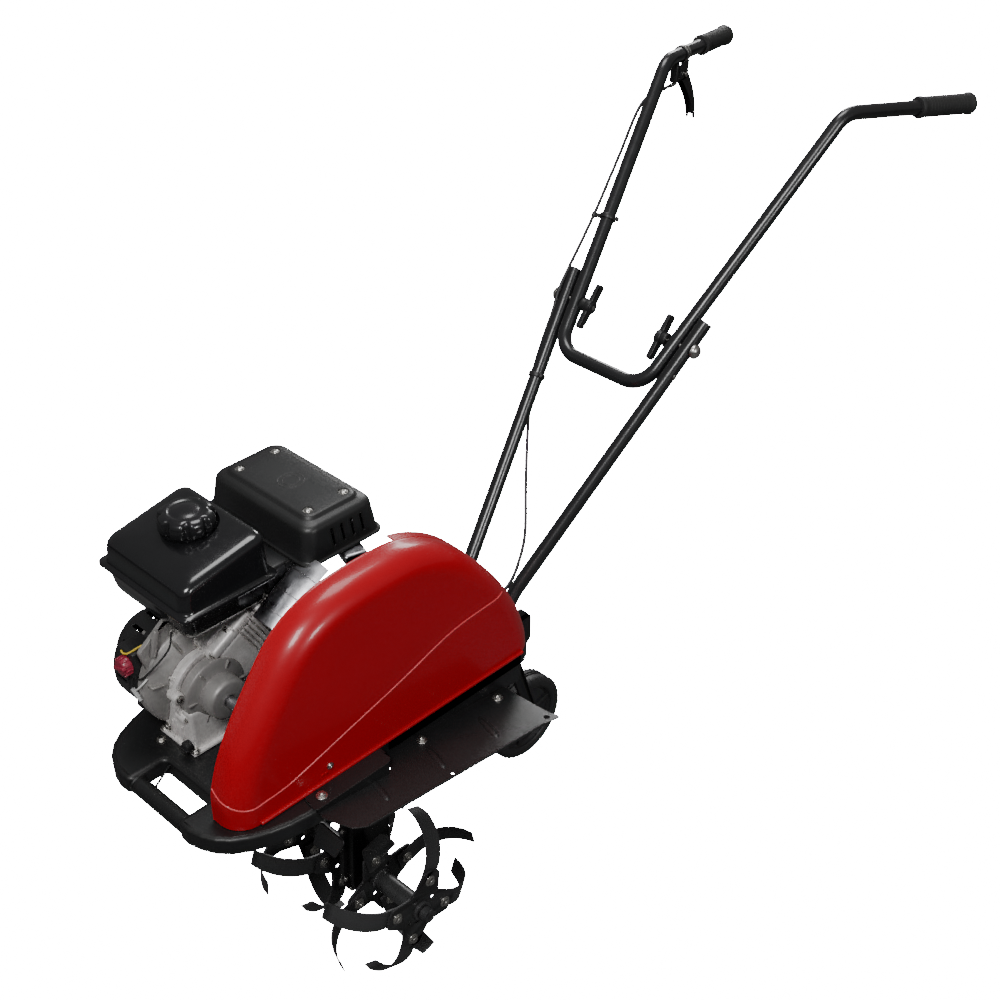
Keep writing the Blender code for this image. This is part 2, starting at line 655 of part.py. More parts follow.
# ---- engine ----
casing = turned("crankcase", [(0, -30), (9.5 + GAP, -30), (9.5 + GAP, -2), (33, -2), (35, -4), (35, -26), (54, -30),
                              (56, -34), (56, -52), (64, -54), (64, -66), (54, -68), (54, -84), (84, -98),
                              (88, -102), (88, BLOWER_X), (0, BLOWER_X)],
                (0, CRANK_Y, CRANK_Z), (1, 0, 0), 32)
sump = box("sump", (-112, 96, DECK_TOP + GAP), (-32, 198, 100), 6.0, 2)
barrel = box("barrel", (-113, -43, 40), (-40, 43, 128), 4.0, 1)
fins = [box("fin", (-150, -52, 90 + 13 * k), (-34, 52, 94 + 13 * k)) for k in range(3)]
tilt = Matrix.Translation((0, CRANK_Y, CRANK_Z)) @ Matrix.Rotation(math.radians(-60), 4, "X")
for piece in [barrel] + fins:
    place(piece, tilt)
join(casing, sump, barrel, *fins)
OIL = (-44.0, 96.0, 33.0)
cut(casing, rod("oil_hole", (OIL[0], OIL[1] - 10, OIL[2]), (OIL[0], OIL[1] + 12, OIL[2]), 7.0 + GAP * 2, sides=16))
finish(casing, cast_metal)

head = box("cylinder_head", (-148, -50, 128 + GAP), (-36, 50, 168), 5.0, 2)
plug = rod("plug", (-92, 0, 160), (-92, 0, 180), 9.0, sides=16)
place(head, tilt)
place(plug, tilt)
join(head, plug)
finish(head, cast_metal)

recoil = turned("recoil_cover", [(0, 108), (44, 108), (56, 104), (62, 94), (64, 78), (80, 74), (85, 66), (85, 0),
                                 (82, 0), (82, 65), (78, 71), (61, 75), (59, 92), (53, 101), (42, 105), (0, 105)],
                (BLOWER_X - GAP, CRANK_Y, CRANK_Z), (-1, 0, 0), 28)
switch_box = box("switch_box", (-160, SWITCH[1], 140), (BLOWER_X - GAP, 100, 188), 3.0, 1)
join(recoil, switch_box)
finish(recoil, satin_plastic)

PULL_FROM = Vector((-211.0, CRANK_Y + 64.8, CRANK_Z))
pull_way = Vector((0, 1, 0))
grip = turned("starter_grip", [(0, 16), (7, 16), (11, 12), (11, -12), (7, -16), (0, -16)],
              tuple(PULL_FROM + pull_way * 20), (1, 0, 0), 20)
stem = rod("stem", tuple(PULL_FROM + pull_way * 20), tuple(PULL_FROM), 4.0, sides=12)
join(grip, stem)
finish(grip, satin_plastic, tuple(PULL_FROM))

oil_plug = turned("oil_plug", [(0, 14), (8, 14), (10, 11), (10, GAP), (7, GAP), (7, -9), (0, -9)], OIL,
                  (0, -1, 0), 16)
finish(oil_plug, satin_plastic, OIL)

TANK_HX, TANK_HY = 111.0, 87.5


def tank_ring(hx, hy, corner, z, rise=0.0):
    """One level of the tank; the upper levels rise towards the rear."""
    ring = rounded_box_ring(TANK_X, TANK_Y, hx, hy, corner, z)
    return [(x, y, height + rise * (y - TANK_Y)) for x, y, height in ring]


tank = loft("fuel_tank", [
    tank_ring(82, 60, 16, 236), tank_ring(94, 71, 18, 240), tank_ring(101, 78, 18, 252),
    tank_ring(104, 81, 18, 280.5), tank_ring(TANK_HX, TANK_HY, 18, 281.5), tank_ring(TANK_HX, TANK_HY, 18, 285),
    tank_ring(106, 83, 18, 286.5), tank_ring(104.4, 81.6, 18, 300, 0.07), tank_ring(102.6, 80, 18, 329, 0.18),
    tank_ring(98.6, 76, 18, 340, 0.19), tank_ring(86, 64, 17, 345, 0.185), tank_ring(48, 34, 13, 348.6, 0.17)])
CAP = (TANK_X - 7, TANK_Y + 14)
cut(tank, rod("dish", (*CAP, 349.6), (*CAP, 400), 48.0, sides=32))
neck = rod("neck", (*CAP, 330), (*CAP, 352), 26.0, sides=24)
join(tank, neck)
finish(tank, gloss_black)

cap = turned("fuel_cap", [(0, 382), (31, 381), (40, 378), (44, 371), (45, 351), (28, 351), (28, 356), (0, 356)],
             (*CAP, 0), (0, 0, 1), 24)
notches = []
for k in range(8):
    a = math.radians(45 * k + 10)
    foot = (CAP[0] + 49 * math.cos(a), CAP[1] + 49 * math.sin(a))
    notches.append(rod("notch", (*foot, 340), (*foot, 374), 8.0, sides=10))
cut(cap, *notches)
finish(cap, gloss_black, (*CAP, 0))

MUF_X, MUF_Y = -122.0, 389.0
guard = loft("muffler_cover", [
    rounded_box_ring(MUF_X, MUF_Y, 130, 80, 20, 281), rounded_box_ring(MUF_X, MUF_Y, 130, 80, 20, 284),
    rounded_box_ring(MUF_X, MUF_Y, 125, 75, 20, 286), rounded_box_ring(MUF_X, MUF_Y, 120, 69, 22, 336),
    rounded_box_ring(MUF_X, MUF_Y, 113, 62, 20, 347), rounded_box_ring(MUF_X, MUF_Y, 98, 50, 16, 352)])
hollow = loft("hollow", [
    rounded_box_ring(MUF_X, MUF_Y, 122, 72, 18, 270), rounded_box_ring(MUF_X, MUF_Y, 117, 66, 20, 334),
    rounded_box_ring(MUF_X, MUF_Y, 108, 57, 18, 345), rounded_box_ring(MUF_X, MUF_Y, 92, 44, 14, 348.5)])
cut(guard, hollow)
slots = [box("louvre", (-12, 366 + 20 * k, 296), (20, 371 + 20 * k, 328)) for k in range(4)]
cut(guard, *slots)
finish(guard, satin_plastic)

muffler = box("muffler", (-116, 333, 288), (-20, 446, 332), 12.0, 3)
elbow = tube("elbow", rounded([(-70, 372, 300), (-70, 372, 262), (-70, 352, 237)], 22, 4), 11.0, 2)
join(muffler, elbow)
finish(muffler, bright_steel)

shield_path = [(p.x, p.y) for p in smooth([(332, 279, 0), (304, 266, 0), (266, 244, 0), (228, 218, 0)], 3)]
shield = side_sheet("heat_shield", [thickened(shield_path, 2.0)], -33, 28)
finish(shield, bright_steel)

cleaner = box("air_cleaner", (-226, 325, 190), (-166, 440, 276), 8.0, 2)
intake = rod("intake", (-168, 352, 215), (-157, 352, 215), 13.0, sides=16)
join(cleaner, intake)
finish(cleaner, satin_plastic)

knob = turned("switch_knob", [(0, 17), (11, 17), (15, 13), (16.5, 4), (16.5, GAP), (0, GAP)], SWITCH,
              (0, -1, 0), 24)
finish(knob, knob_red, SWITCH)


# ---- handlebar ----
def lower_point(y):
    x = FOLD_X_LOWER + SPLAY * (y - FOLD_Y)
    return (max(x, LOWER_X), y, FOLD_Z + 1.142 * (y - FOLD_Y))


def upper_point(y):
    return (FOLD_X_UPPER + SPLAY * (y - FOLD_Y), y, FOLD_Z + 1.084 * (y - FOLD_Y))


lower = tube("lower_tube_left", rounded([lower_point(655), lower_point(715), lower_point(1080)], 60, 3), TUBE_R, 2)
bolt_hole = rod("bolt_hole", (90, FOLD_Y, FOLD_Z), (170, FOLD_Y, FOLD_Z), 4.0 + GAP, sides=12)
cut(lower, bolt_hole)
lower_twin = copy(lower, "lower_tube_right", MIRROR)
finish(lower, black_paint)
finish(lower_twin, black_paint)

bend_top = (193, 1364, 772)
grip_start = (243, 1515, 751)
grip_end = (270, 1637, 738)
corner = upper_point(983)
leg = [grip_end, bend_top, corner]
path = leg + [(-x, y, z) for x, y, z in reversed(leg)]
bar_path = rounded(path, 48, 5)
handle = tube("upper_handlebar", bar_path, TUBE_R, 2)
cut(handle, rod("bolt_hole", (-150, FOLD_Y, FOLD_Z), (150, FOLD_Y, FOLD_Z), 4.0 + GAP, sides=12))
finish(handle, black_paint, (0, FOLD_Y, FOLD_Z))

grip_axis = (Vector(grip_end) - Vector(bend_top)).normalized()
grip_tip = Vector(grip_end) + grip_axis * 4.0
bore = TUBE_R + GAP
sleeve = turned("grip_left", [(0, 0), (17.5, 0), (20.0, -3), (20.0, -9), (16.8, -13), (16.8, -118), (18.0, -122),
                              (18.0, -128), (bore, -128), (bore, -3.5), (0, -3.5)],
                tuple(grip_tip), tuple(grip_axis), 24)
sleeve_twin = copy(sleeve, "grip_right", MIRROR)
finish(sleeve, rubber)
finish(sleeve_twin, rubber)

bolt = turned("clamp_bolt_left", [(0, 30), (4.5, 29), (8.5, 26), (10.0, 22), (10.0, 21), (4.0, 21), (4.0, -62),
                                  (0, -62)],
              (FOLD_X_LOWER - 5, FOLD_Y, FOLD_Z), (1, 0, 0), 16)
bolt_twin = copy(bolt, "clamp_bolt_right", MIRROR)
finish(bolt, bright_steel, (0, FOLD_Y, FOLD_Z))
finish(bolt_twin, bright_steel, (0, FOLD_Y, FOLD_Z))

KNOB_X = FOLD_X_UPPER - 14.5
wing = turned("wing_knob_left", [(4.0 + GAP, 0), (12, 0), (12.5, -3), (10, -22), (7, -25), (4.0 + GAP, -25)],
              (KNOB_X, FOLD_Y, FOLD_Z), (1, 0, 0), 12)
blade = sheet("blade", [hull_of_circles((-34, 0), 8.0, (34, 0), 8.0, 4)], 9.0, Matrix())
blade_cut = rod("cut", (0, 0, -20), (0, 0, 20), 7.0, sides=12)
cut(blade, blade_cut)
place(blade, Matrix.Translation((KNOB_X - 17, FOLD_Y, FOLD_Z)) @ Matrix.Rotation(math.radians(48), 4, "X")
      @ ON_SIDE)
join(wing, blade)
wing_twin = copy(wing, "wing_knob_right", MIRROR)
finish(wing, satin_plastic, (KNOB_X, FOLD_Y, FOLD_Z))
finish(wing_twin, satin_plastic, (-KNOB_X, FOLD_Y, FOLD_Z))


# ---- clutch lever on the right grip, and its cable ----
right_axis = Vector((-grip_axis.x, grip_axis.y, grip_axis.z))
clamp_at = Vector((-bend_top[0], bend_top[1], bend_top[2])) + right_axis * 74.0
down = Vector((0, 0, -1))
down = (down - right_axis * down.dot(right_axis)).normalized()
across = right_axis.cross(down)
basis = Matrix((right_axis, across, down)).transposed().to_4x4()
at_clamp = Matrix.Translation(clamp_at) @ basis

band = turned("lever_bracket", [(bore, 9), (bore + 3.5, 9), (bore + 3.5, -9), (bore, -9)], (0, 0, 0), (1, 0, 0), 28)
cheek = box("cheek", (-12, -9, bore - 0.5), (12, -6, 46), 0.0)
cheek_b = box("cheek_b", (-12, 6, bore - 0.5), (12, 9, 46), 0.0)
bridge = box("bridge", (-12, -8, bore + 0.5), (12, 8, bore + 4.5), 0.0)
join(band, cheek, cheek_b, bridge)
lever_pin = rod("lever_pin", (0, -12, 36), (0, 12, 36), 3.0, sides=12)
join(band, lever_pin)
place(band, at_clamp)
finish(band, satin_plastic)

lever_shape = [(-6, -11), (10, -11), (14, -2), (30, 16), (54, 40), (72, 66), (82, 96), (76, 98), (62, 74),
               (44, 52), (20, 30), (2, 14), (-8, 8), (-14, 2), (-20, -6), (-12, -12)]
lever = sheet("clutch_lever", [lever_shape[::-1]], 10.5, Matrix())
lever_bore = rod("lever_bore", (0, 0, -20), (0, 0, 20), 3.0 + GAP, sides=12)
cut(lever, lever_bore)
flat = Matrix(((1, 0, 0, 0), (0, 0, -1, 0), (0, 1, 0, 36), (0, 0, 0, 1)))
place(lever, at_clamp @ flat)
lever_pivot = at_clamp @ Vector((0, 0, 36))
finish(lever, satin_plastic, tuple(lever_pivot))

cable_start = at_clamp @ Vector((-17, 0, 52))
cable_route = [tuple(cable_start), (-206, 1382, 712), (-206, 1308, 702), (-192, 1218, 627), (-178, 1152, 558),
               (-170, 1100, 510), (-160.5, 1032, 448), (-152, 1008, 408), (-143, 985, 366), (-133, 958, 318),
               (-116, 930, 268), (-95, 902, 216), (-60, 862, 146), (-14, 812, 84), (18, 758, 56),
               (33, 722, 47), (43, 696, 53), (54, 674, 80), (64, 640, 126), (78, 560, 190), (88, 455, 262)]
cable = tube("clutch_cable", [tuple(p) for p in smooth(cable_route, 2)], 2.7, 1)
finish(cable, satin_plastic)


# ---- stand the assembly on the ground, centred over its origin ----
bpy.context.view_layer.update()
low = Vector((math.inf,) * 3)
high = Vector((-math.inf,) * 3)
for obj in finished:
    for vert in obj.data.vertices:
        co = obj.matrix_world @ vert.co
        for axis in range(3):
            low[axis] = min(low[axis], co[axis])
            high[axis] = max(high[axis], co[axis])
shift = Vector((-(low.x + high.x) / 2, -(low.y + high.y) / 2, -low.z))
for obj in finished:
    obj.location += shift
print("assembly shift", tuple(round(v, 5) for v in shift), "size", tuple(round(v, 4) for v in high - low))
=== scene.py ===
"""Garden tiller: the detailed visual model, drawn in the layout millimetres of the CAD frame."""
import math
import bmesh
import bpy
from mathutils import Matrix, Vector
from mathutils.bvhtree import BVHTree


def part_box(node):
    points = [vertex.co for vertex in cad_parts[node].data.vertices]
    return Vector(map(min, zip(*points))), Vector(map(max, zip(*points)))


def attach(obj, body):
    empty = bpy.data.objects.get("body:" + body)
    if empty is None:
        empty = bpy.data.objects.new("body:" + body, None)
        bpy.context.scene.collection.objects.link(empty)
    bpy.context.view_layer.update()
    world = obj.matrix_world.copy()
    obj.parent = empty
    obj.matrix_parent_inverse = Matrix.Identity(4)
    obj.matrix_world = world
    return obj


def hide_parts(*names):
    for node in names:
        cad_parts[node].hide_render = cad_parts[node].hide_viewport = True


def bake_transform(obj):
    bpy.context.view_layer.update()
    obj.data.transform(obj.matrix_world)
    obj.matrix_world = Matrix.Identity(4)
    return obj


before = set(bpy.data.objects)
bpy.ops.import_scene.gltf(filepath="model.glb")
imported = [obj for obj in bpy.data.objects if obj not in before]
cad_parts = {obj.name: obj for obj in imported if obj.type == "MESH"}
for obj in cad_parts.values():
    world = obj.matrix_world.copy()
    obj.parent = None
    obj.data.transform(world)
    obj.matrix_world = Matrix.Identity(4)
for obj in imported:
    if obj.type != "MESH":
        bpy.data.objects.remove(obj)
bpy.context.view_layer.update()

U = 0.001
TINE = Vector((0, 386, -420))
low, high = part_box("tine_shaft")
HOME = Matrix.Translation((Vector(low) + Vector(high)) / 2 - TINE * U) @ Matrix.Scale(U, 4)
MIRROR = Matrix.Scale(-1, 4, (1, 0, 0))
ON_SIDE = Matrix(((0, 0, 1, 0), (1, 0, 0, 0), (0, 1, 0, 0), (0, 0, 0, 1)))
TURN = math.tau

# the layout, in millimetres
TUBE_R = 12.7
DECK = 20.0
CRANK_Y, CRANK_Z = 150.0, 115.0
INPUT_Y, INPUT_Z = 420.0, 160.0
WHEEL_Y, WHEEL_Z = 790.0, -315.0
LOWER_X, LUG_X = 55.0, 68.05
PIVOT_Y, PIVOT_Z = 705.0, -55.0
FOLD_Y, FOLD_Z = 1045.0, 429.5
BLOWER_X = -118.0
SWITCH = Vector((-134, 62, 164))
TANK_X, TANK_Y = -130.0, 186.0
MUF_X, MUF_Y = -122.0, 389.0


# ---- mesh helpers, all in millimetres ----
def block(low, high, tilt=None):
    bm = bmesh.new()
    bmesh.ops.create_cube(bm, size=1.0)
    low, high = Vector(low), Vector(high)
    bmesh.ops.scale(bm, vec=high - low, verts=bm.verts)
    bmesh.ops.translate(bm, vec=(low + high) / 2, verts=bm.verts)
    return moved(bm, tilt) if tilt else bm


def moved(bm, matrix):
    bmesh.ops.transform(bm, matrix=matrix, verts=bm.verts)
    if matrix.determinant() < 0:
        bmesh.ops.reverse_faces(bm, faces=bm.faces)
    return bm


def twin(bm, matrix=MIRROR):
    return moved(bm.copy(), matrix)


def both(*parts):
    return list(parts) + [twin(part) for part in parts]


def facing(at, axis):
    return Matrix.Translation(Vector(at)) @ Vector(axis).to_track_quat("Z", "Y").to_matrix().to_4x4()


def cyl(start, end, radius, end_radius=None, n=32):
    start, end = Vector(start), Vector(end)
    bm = bmesh.new()
    bmesh.ops.create_cone(bm, cap_ends=True, segments=n, radius1=radius,
                          radius2=radius if end_radius is None else end_radius, depth=(end - start).length)
    return moved(bm, facing((start + end) / 2, end - start))


def turn(profile, at, axis, n=64):
    """A turned shape from (radius, height) points."""
    bm = bmesh.new()
    rows = []
    for radius, height in profile:
        if radius < 1e-6:
            rows.append([bm.verts.new((0, 0, height))])
        else:
            rows.append([bm.verts.new((radius * math.cos(TURN * i / n), radius * math.sin(TURN * i / n),
                                       height))
                         for i in range(n)])
    pairs = list(zip(rows, rows[1:]))
    if len(rows[0]) > 1 or len(rows[-1]) > 1:
        pairs.append((rows[-1], rows[0]))
    for a, b in pairs:
        for i in range(n):
            j = (i + 1) % n
            if len(a) == 1 and len(b) == 1:
                break
            if len(a) == 1:
                bm.faces.new((a[0], b[i], b[j]))
            elif len(b) == 1:
                bm.faces.new((a[i], b[0], a[j]))
            else:
                bm.faces.new((a[i], b[i], b[j], a[j]))
    bmesh.ops.recalc_face_normals(bm, faces=bm.faces)
    return moved(bm, facing(at, axis))


def disc(n, rx, ry=None):
    return [(rx * math.cos(TURN * i / n), (ry or rx) * math.sin(TURN * i / n)) for i in range(n)]


def sweep(path, section, up=None, loop=False, scale=None):
    """A section carried along a path. With up, the section's second axis leans towards it."""
    path = [Vector(p) for p in path]
    count = len(path)
    bm = bmesh.new()
    rows = []
    side = None
    for i, here in enumerate(path):
        before = path[(i - 1) % count] if loop or i else here
        after = path[(i + 1) % count] if loop or i < count - 1 else here
        run = (after - before).normalized()
        if up is not None:
            rise = Vector(up[i] if isinstance(up, list) else up)
            side = run.cross(rise).normalized()
        elif side is None:
            side = run.orthogonal().normalized()
        else:
            side = (side - run * side.dot(run)).normalized()
        over = side.cross(run).normalized()
        k = scale(i / max(count - 1, 1)) if scale else 1.0
        rows.append([bm.verts.new(here + side * (a * k) + over * (b * k)) for a, b in section])
    pairs = list(zip(rows, rows[1:])) + ([(rows[-1], rows[0])] if loop else [])
    m = len(section)
    for a, b in pairs:
        for i in range(m):
            j = (i + 1) % m
            bm.faces.new((a[i], a[j], b[j], b[i]))
    if not loop:
        bm.faces.new(rows[0])
        bm.faces.new(rows[-1])
    bmesh.ops.recalc_face_normals(bm, faces=bm.faces)
    return bm


def tube(path, radius, n=20, loop=False):
    return sweep(path, disc(n, radius), loop=loop)


def weld(path, radius=2.6, pitch=3.2):
    """A weld bead with its ripples."""
    path = smooth(path, 6)
    length = sum((a - b).length for a, b in zip(path, path[1:]))
    return sweep(path, disc(10, radius), scale=lambda t: 1 + 0.16 * math.sin(TURN * t * length / pitch))


def arc(centre, radius, first, last, steps):
    return [(centre[0] + radius * math.cos(math.radians(first + (last - first) * i / steps)),
             centre[1] + radius * math.sin(math.radians(first + (last - first) * i / steps)))
            for i in range(steps + 1)]


def circle(a, b, radius, steps=32):
    return arc((a, b), radius, 0, 360 - 360 / steps, steps - 1)


def capsule(c1, r1, c2, r2, steps=12):
    dx, dy = c2[0] - c1[0], c2[1] - c1[1]
    heading = math.degrees(math.atan2(dy, dx))
    spread = math.degrees(math.acos((r1 - r2) / math.hypot(dx, dy)))
    return (arc(c1, r1, heading + spread, heading + 360 - spread, steps)
            + arc(c2, r2, heading - spread, heading + spread, steps))


def rounded(points, radius, steps=8, loop=False):
    """Replace corners by arcs, in 2D or 3D."""
    flat = len(points[0]) == 2
    pts = [Vector((*p, 0)) if flat else Vector(p) for p in points]
    count = len(pts)
    path = [] if loop else [pts[0]]
    for i in range(count) if loop else range(1, count - 1):
        before, corner, after = pts[i - 1], pts[i], pts[(i + 1) % count]
        back, on = (before - corner).normalized(), (after - corner).normalized()
        half = back.angle(on) / 2
        if half > 1.54:
            path.append(corner)
            continue
        reach = min(radius / math.tan(half), (before - corner).length * 0.48,
                    (after - corner).length * 0.48)
        bend = reach * math.tan(half)
        centre = corner + (back + on).normalized() * (bend / math.sin(half))
        first = (corner + back * reach - centre).normalized()
        last = (corner + on * reach - centre).normalized()
        path += [centre + first.slerp(last, k / steps).normalized() * bend for k in range(steps + 1)]
    if not loop:
        path.append(pts[-1])
    return [(p.x, p.y) for p in path] if flat else path


def smooth(points, steps=6, loop=False):
    flat = len(points[0]) == 2
    pts = [Vector((*p, 0)) if flat else Vector(p) for p in points]
    count = len(pts)
    path = []
    for i in range(count if loop else count - 1):
        b, c = pts[i], pts[(i + 1) % count]
        a = pts[(i - 1) % count] if loop or i else b * 2 - c
        d = pts[(i + 2) % count] if loop or i < count - 2 else c * 2 - b
        for k in range(steps):
            t = k / steps
            path.append(0.5 * (2 * b + (c - a) * t + (2 * a - 5 * b + 4 * c - d) * t * t
                               + (3 * b - a - 3 * c + d) * t ** 3))
    if not loop:
        path.append(pts[-1])
    return [(p.x, p.y) for p in path] if flat else path


def grown(outline, distance):
    """Offset a closed counter-clockwise outline outwards, or inwards if negative."""
    result = []
    for i, here in enumerate(outline):
        before, here, after = Vector(outline[i - 1]), Vector(here), Vector(outline[(i + 1) % len(outline)])
        n1 = Vector(((here - before).y, -(here - before).x)).normalized()
        n2 = Vector(((after - here).y, -(after - here).x)).normalized()
        middle = (n1 + n2).normalized()
        result.append(tuple(here + middle * distance / max(middle.dot(n1), 0.5)))
    return result


def slab(outline, low, high, holes=(), matrix=None):
    """A flat plate from an outline and its holes, between two heights."""
    curve = bpy.data.curves.new("outline", "CURVE")
    curve.dimensions, curve.fill_mode, curve.extrude = "2D", "BOTH", (high - low) / 2
    for ring in [outline, *holes]:
        spline = curve.splines.new("POLY")
        spline.points.add(len(ring) - 1)
        for point, (a, b) in zip(spline.points, ring):
            point.co = (a, b, 0, 1)
        spline.use_cyclic_u = True
    obj = bpy.data.objects.new("outline", curve)
    bpy.context.scene.collection.objects.link(obj)
    bpy.context.view_layer.update()
    mesh = bpy.data.meshes.new_from_object(obj.evaluated_get(bpy.context.evaluated_depsgraph_get()))
    bm = bmesh.new()
    bm.from_mesh(mesh)
    bpy.data.objects.remove(obj, do_unlink=True)
    bpy.data.curves.remove(curve)
    bpy.data.meshes.remove(mesh)
    bmesh.ops.remove_doubles(bm, verts=bm.verts, dist=0.01)
    bmesh.ops.translate(bm, vec=(0, 0, (low + high) / 2), verts=bm.verts)
    bmesh.ops.recalc_face_normals(bm, faces=bm.faces)
    return moved(bm, matrix) if matrix else bm


def side_slab(outline, x0, x1, holes=()):
    return slab(outline, x0, x1, holes, ON_SIDE)


def loft(rings, first=True, last=True):
    bm = bmesh.new()
    rows = [[bm.verts.new(p) for p in ring] for ring in rings]
    count = len(rows[0])
    for lower, upper in zip(rows, rows[1:]):
        for i in range(count):
            j = (i + 1) % count
            bm.faces.new((lower[i], lower[j], upper[j], upper[i]))
    if first:
        bm.faces.new(rows[0][::-1])
    if last:
        bm.faces.new(rows[-1])
    bmesh.ops.recalc_face_normals(bm, faces=bm.faces)
    return bm


def rect(cx, cy, hx, hy, corner, z, steps=8, rise=0.0):
    ring = []
    for sx, sy, start in ((1, 1, 0), (-1, 1, 90), (-1, -1, 180), (1, -1, 270)):
        ring += arc((cx + sx * (hx - corner), cy + sy * (hy - corner)), corner, start, start + 90, steps)
    return [(x, y, z + rise * (y - cy)) for x, y in ring]


def pillow(low, high, radius, steps=4):
    """A box with well-rounded edges."""
    bm = block(low, high)
    bmesh.ops.bevel(bm, geom=bm.edges, offset=radius, segments=steps, profile=0.5, affect="EDGES",
                    clamp_overlap=True)
    return bm


def carve(bm, *cutters):
    """Take the cutters away from a closed shape."""
    work = []
    for source in (bm, *cutters):
        mesh = bpy.data.meshes.new("carve")
        source.to_mesh(mesh)
        source.free()
        obj = bpy.data.objects.new("carve", mesh)
        bpy.context.scene.collection.objects.link(obj)
        work.append(obj)
    for cutter in work[1:]:
        step = work[0].modifiers.new("cut", "BOOLEAN")
        step.operation, step.solver, step.object = "DIFFERENCE", "EXACT", cutter
    bpy.context.view_layer.update()
    mesh = bpy.data.meshes.new_from_object(work[0].evaluated_get(bpy.context.evaluated_depsgraph_get()))
    out = bmesh.new()
    out.from_mesh(mesh)
    bpy.data.meshes.remove(mesh)
    for obj in work:
        mesh = obj.data
        bpy.data.objects.remove(obj, do_unlink=True)
        bpy.data.meshes.remove(mesh)
    return out


def bolt(at, axis, r=6.0, washer=1.45, tall=0.7, stud=0.0):
    """A hexagon head or nut on its washer, with the end of its stud."""
    at, axis = Vector(at), Vector(axis).normalized()
    parts = [turn([(0, 0), (r * washer, 0), (r * washer, 1.0), (r * washer * 0.95, 1.4), (0, 1.4)], at,
                  axis, 32)]
    h = r * tall
    hexagon = loft([[(r * k * math.cos(TURN * i / 6), r * k * math.sin(TURN * i / 6), z) for i in range(6)]
                    for k, z in ((1.0, 1.2), (1.0, h + 0.9), (0.9, h + 1.4))])
    parts.append(moved(hexagon, facing(at, axis)))
    if stud:
        parts.append(cyl(at + axis, at + axis * (h + stud), r * 0.5, n=20))
    else:
        parts.append(turn([(0, h + 1.2), (r * 0.75, h + 1.2), (r * 0.7, h + 1.9), (0, h + 2.0)], at, axis,
                          24))
    return parts


def pan_screw(at, axis, r=5.0):
    """A pan head with a driver recess, on a washer."""
    return [turn([(0, 0), (r * 1.35, 0), (r * 1.35, 0.9), (0, 0.9)], at, axis, 28),
            turn([(0, 1.6), (r * 0.22, 1.6), (r * 0.34, 3.2), (r * 0.6, 3.1), (r * 0.86, 2.5), (r, 1.4), (r,
                    0.8),
                  (0, 0.8)], at, axis, 28)]


# ---- materials ----
def links(mat):
    return mat.node_tree.nodes, mat.node_tree.links.new


def noise(mat, scale, detail=4.0, rough=0.55, stretch=None):
    nodes, link = links(mat)
    spot = nodes.new("ShaderNodeTexCoord")
    out = nodes.new("ShaderNodeTexNoise")
    out.inputs["Scale"].default_value = scale
    out.inputs["Detail"].default_value = detail
    out.inputs["Roughness"].default_value = rough
    if stretch:
        grid = nodes.new("ShaderNodeMapping")
        grid.inputs["Scale"].default_value = stretch
        link(spot.outputs["Object"], grid.inputs["Vector"])
        link(grid.outputs["Vector"], out.inputs["Vector"])
    else:
        link(spot.outputs["Object"], out.inputs["Vector"])
    return out.outputs["Fac"]


def spread(mat, value, low, high, a=0.32, b=0.68):
    nodes, link = links(mat)
    out = nodes.new("ShaderNodeMapRange")
    out.inputs["From Min"].default_value = a
    out.inputs["From Max"].default_value = b
    out.inputs["To Min"].default_value = low
    out.inputs["To Max"].default_value = high
    link(value, out.inputs["Value"])
    return out.outputs["Result"]


def tones(mat, value, stops):
    nodes, link = links(mat)
    ramp = nodes.new("ShaderNodeValToRGB")
    while len(ramp.color_ramp.elements) < len(stops):
        ramp.color_ramp.elements.new(0.5)
    for element, (at, colour) in zip(ramp.color_ramp.elements, stops):
        element.position = at
        element.color = (*colour, 1)
    link(value, ramp.inputs["Fac"])
    return ramp.outputs["Color"]


def finish_of(name, colour, rough, metallic=0.0, coat=0.0, coat_rough=0.06, specular=0.5, blot=9.0,
              tone=0.14,
              grain=420.0, span=0.05, bump=0.0, stretch=None, wear=None):
    """A surface with its colour drift, its uneven sheen and its fine relief."""
    mat = bpy.data.materials.new(name)
    mat.use_nodes = True
    nodes, link = links(mat)
    shader = nodes["Principled BSDF"]
    shader.inputs["Metallic"].default_value = metallic
    shader.inputs["Coat Weight"].default_value = coat
    shader.inputs["Coat Roughness"].default_value = coat_rough
    shader.inputs["Specular IOR Level"].default_value = specular
    darker = tuple(c * (1 - tone) for c in colour)
    lighter = tuple(min(c * (1 + tone), 1) for c in colour)
    shade = tones(mat, noise(mat, blot, 6.0, 0.6), ((0.33, darker), (0.5, colour), (0.67, lighter)))
    if wear:
        edge = nodes.new("ShaderNodeNewGeometry").outputs["Pointiness"]
        amount = spread(mat, edge, 0.0, 1.0, 0.515, 0.57)
        mix = nodes.new("ShaderNodeMix")
        mix.data_type = "RGBA"
        factor, base, worn = mix.inputs[0], mix.inputs[6], mix.inputs[7]
        link(amount, factor)
        link(shade, base)
        worn.default_value = (*wear, 1)
        shade = mix.outputs[2]
    link(shade, shader.inputs["Base Color"])
    fine = noise(mat, grain, 3.0, 0.5, stretch)
    link(spread(mat, fine, max(rough - span, 0.02), rough + span), shader.inputs["Roughness"])
    if bump:
        relief = nodes.new("ShaderNodeBump")
        relief.inputs["Strength"].default_value = 0.6
        relief.inputs["Distance"].default_value = bump
        link(fine, relief.inputs["Height"])
        link(relief.outputs["Normal"], shader.inputs["Normal"])
    return mat


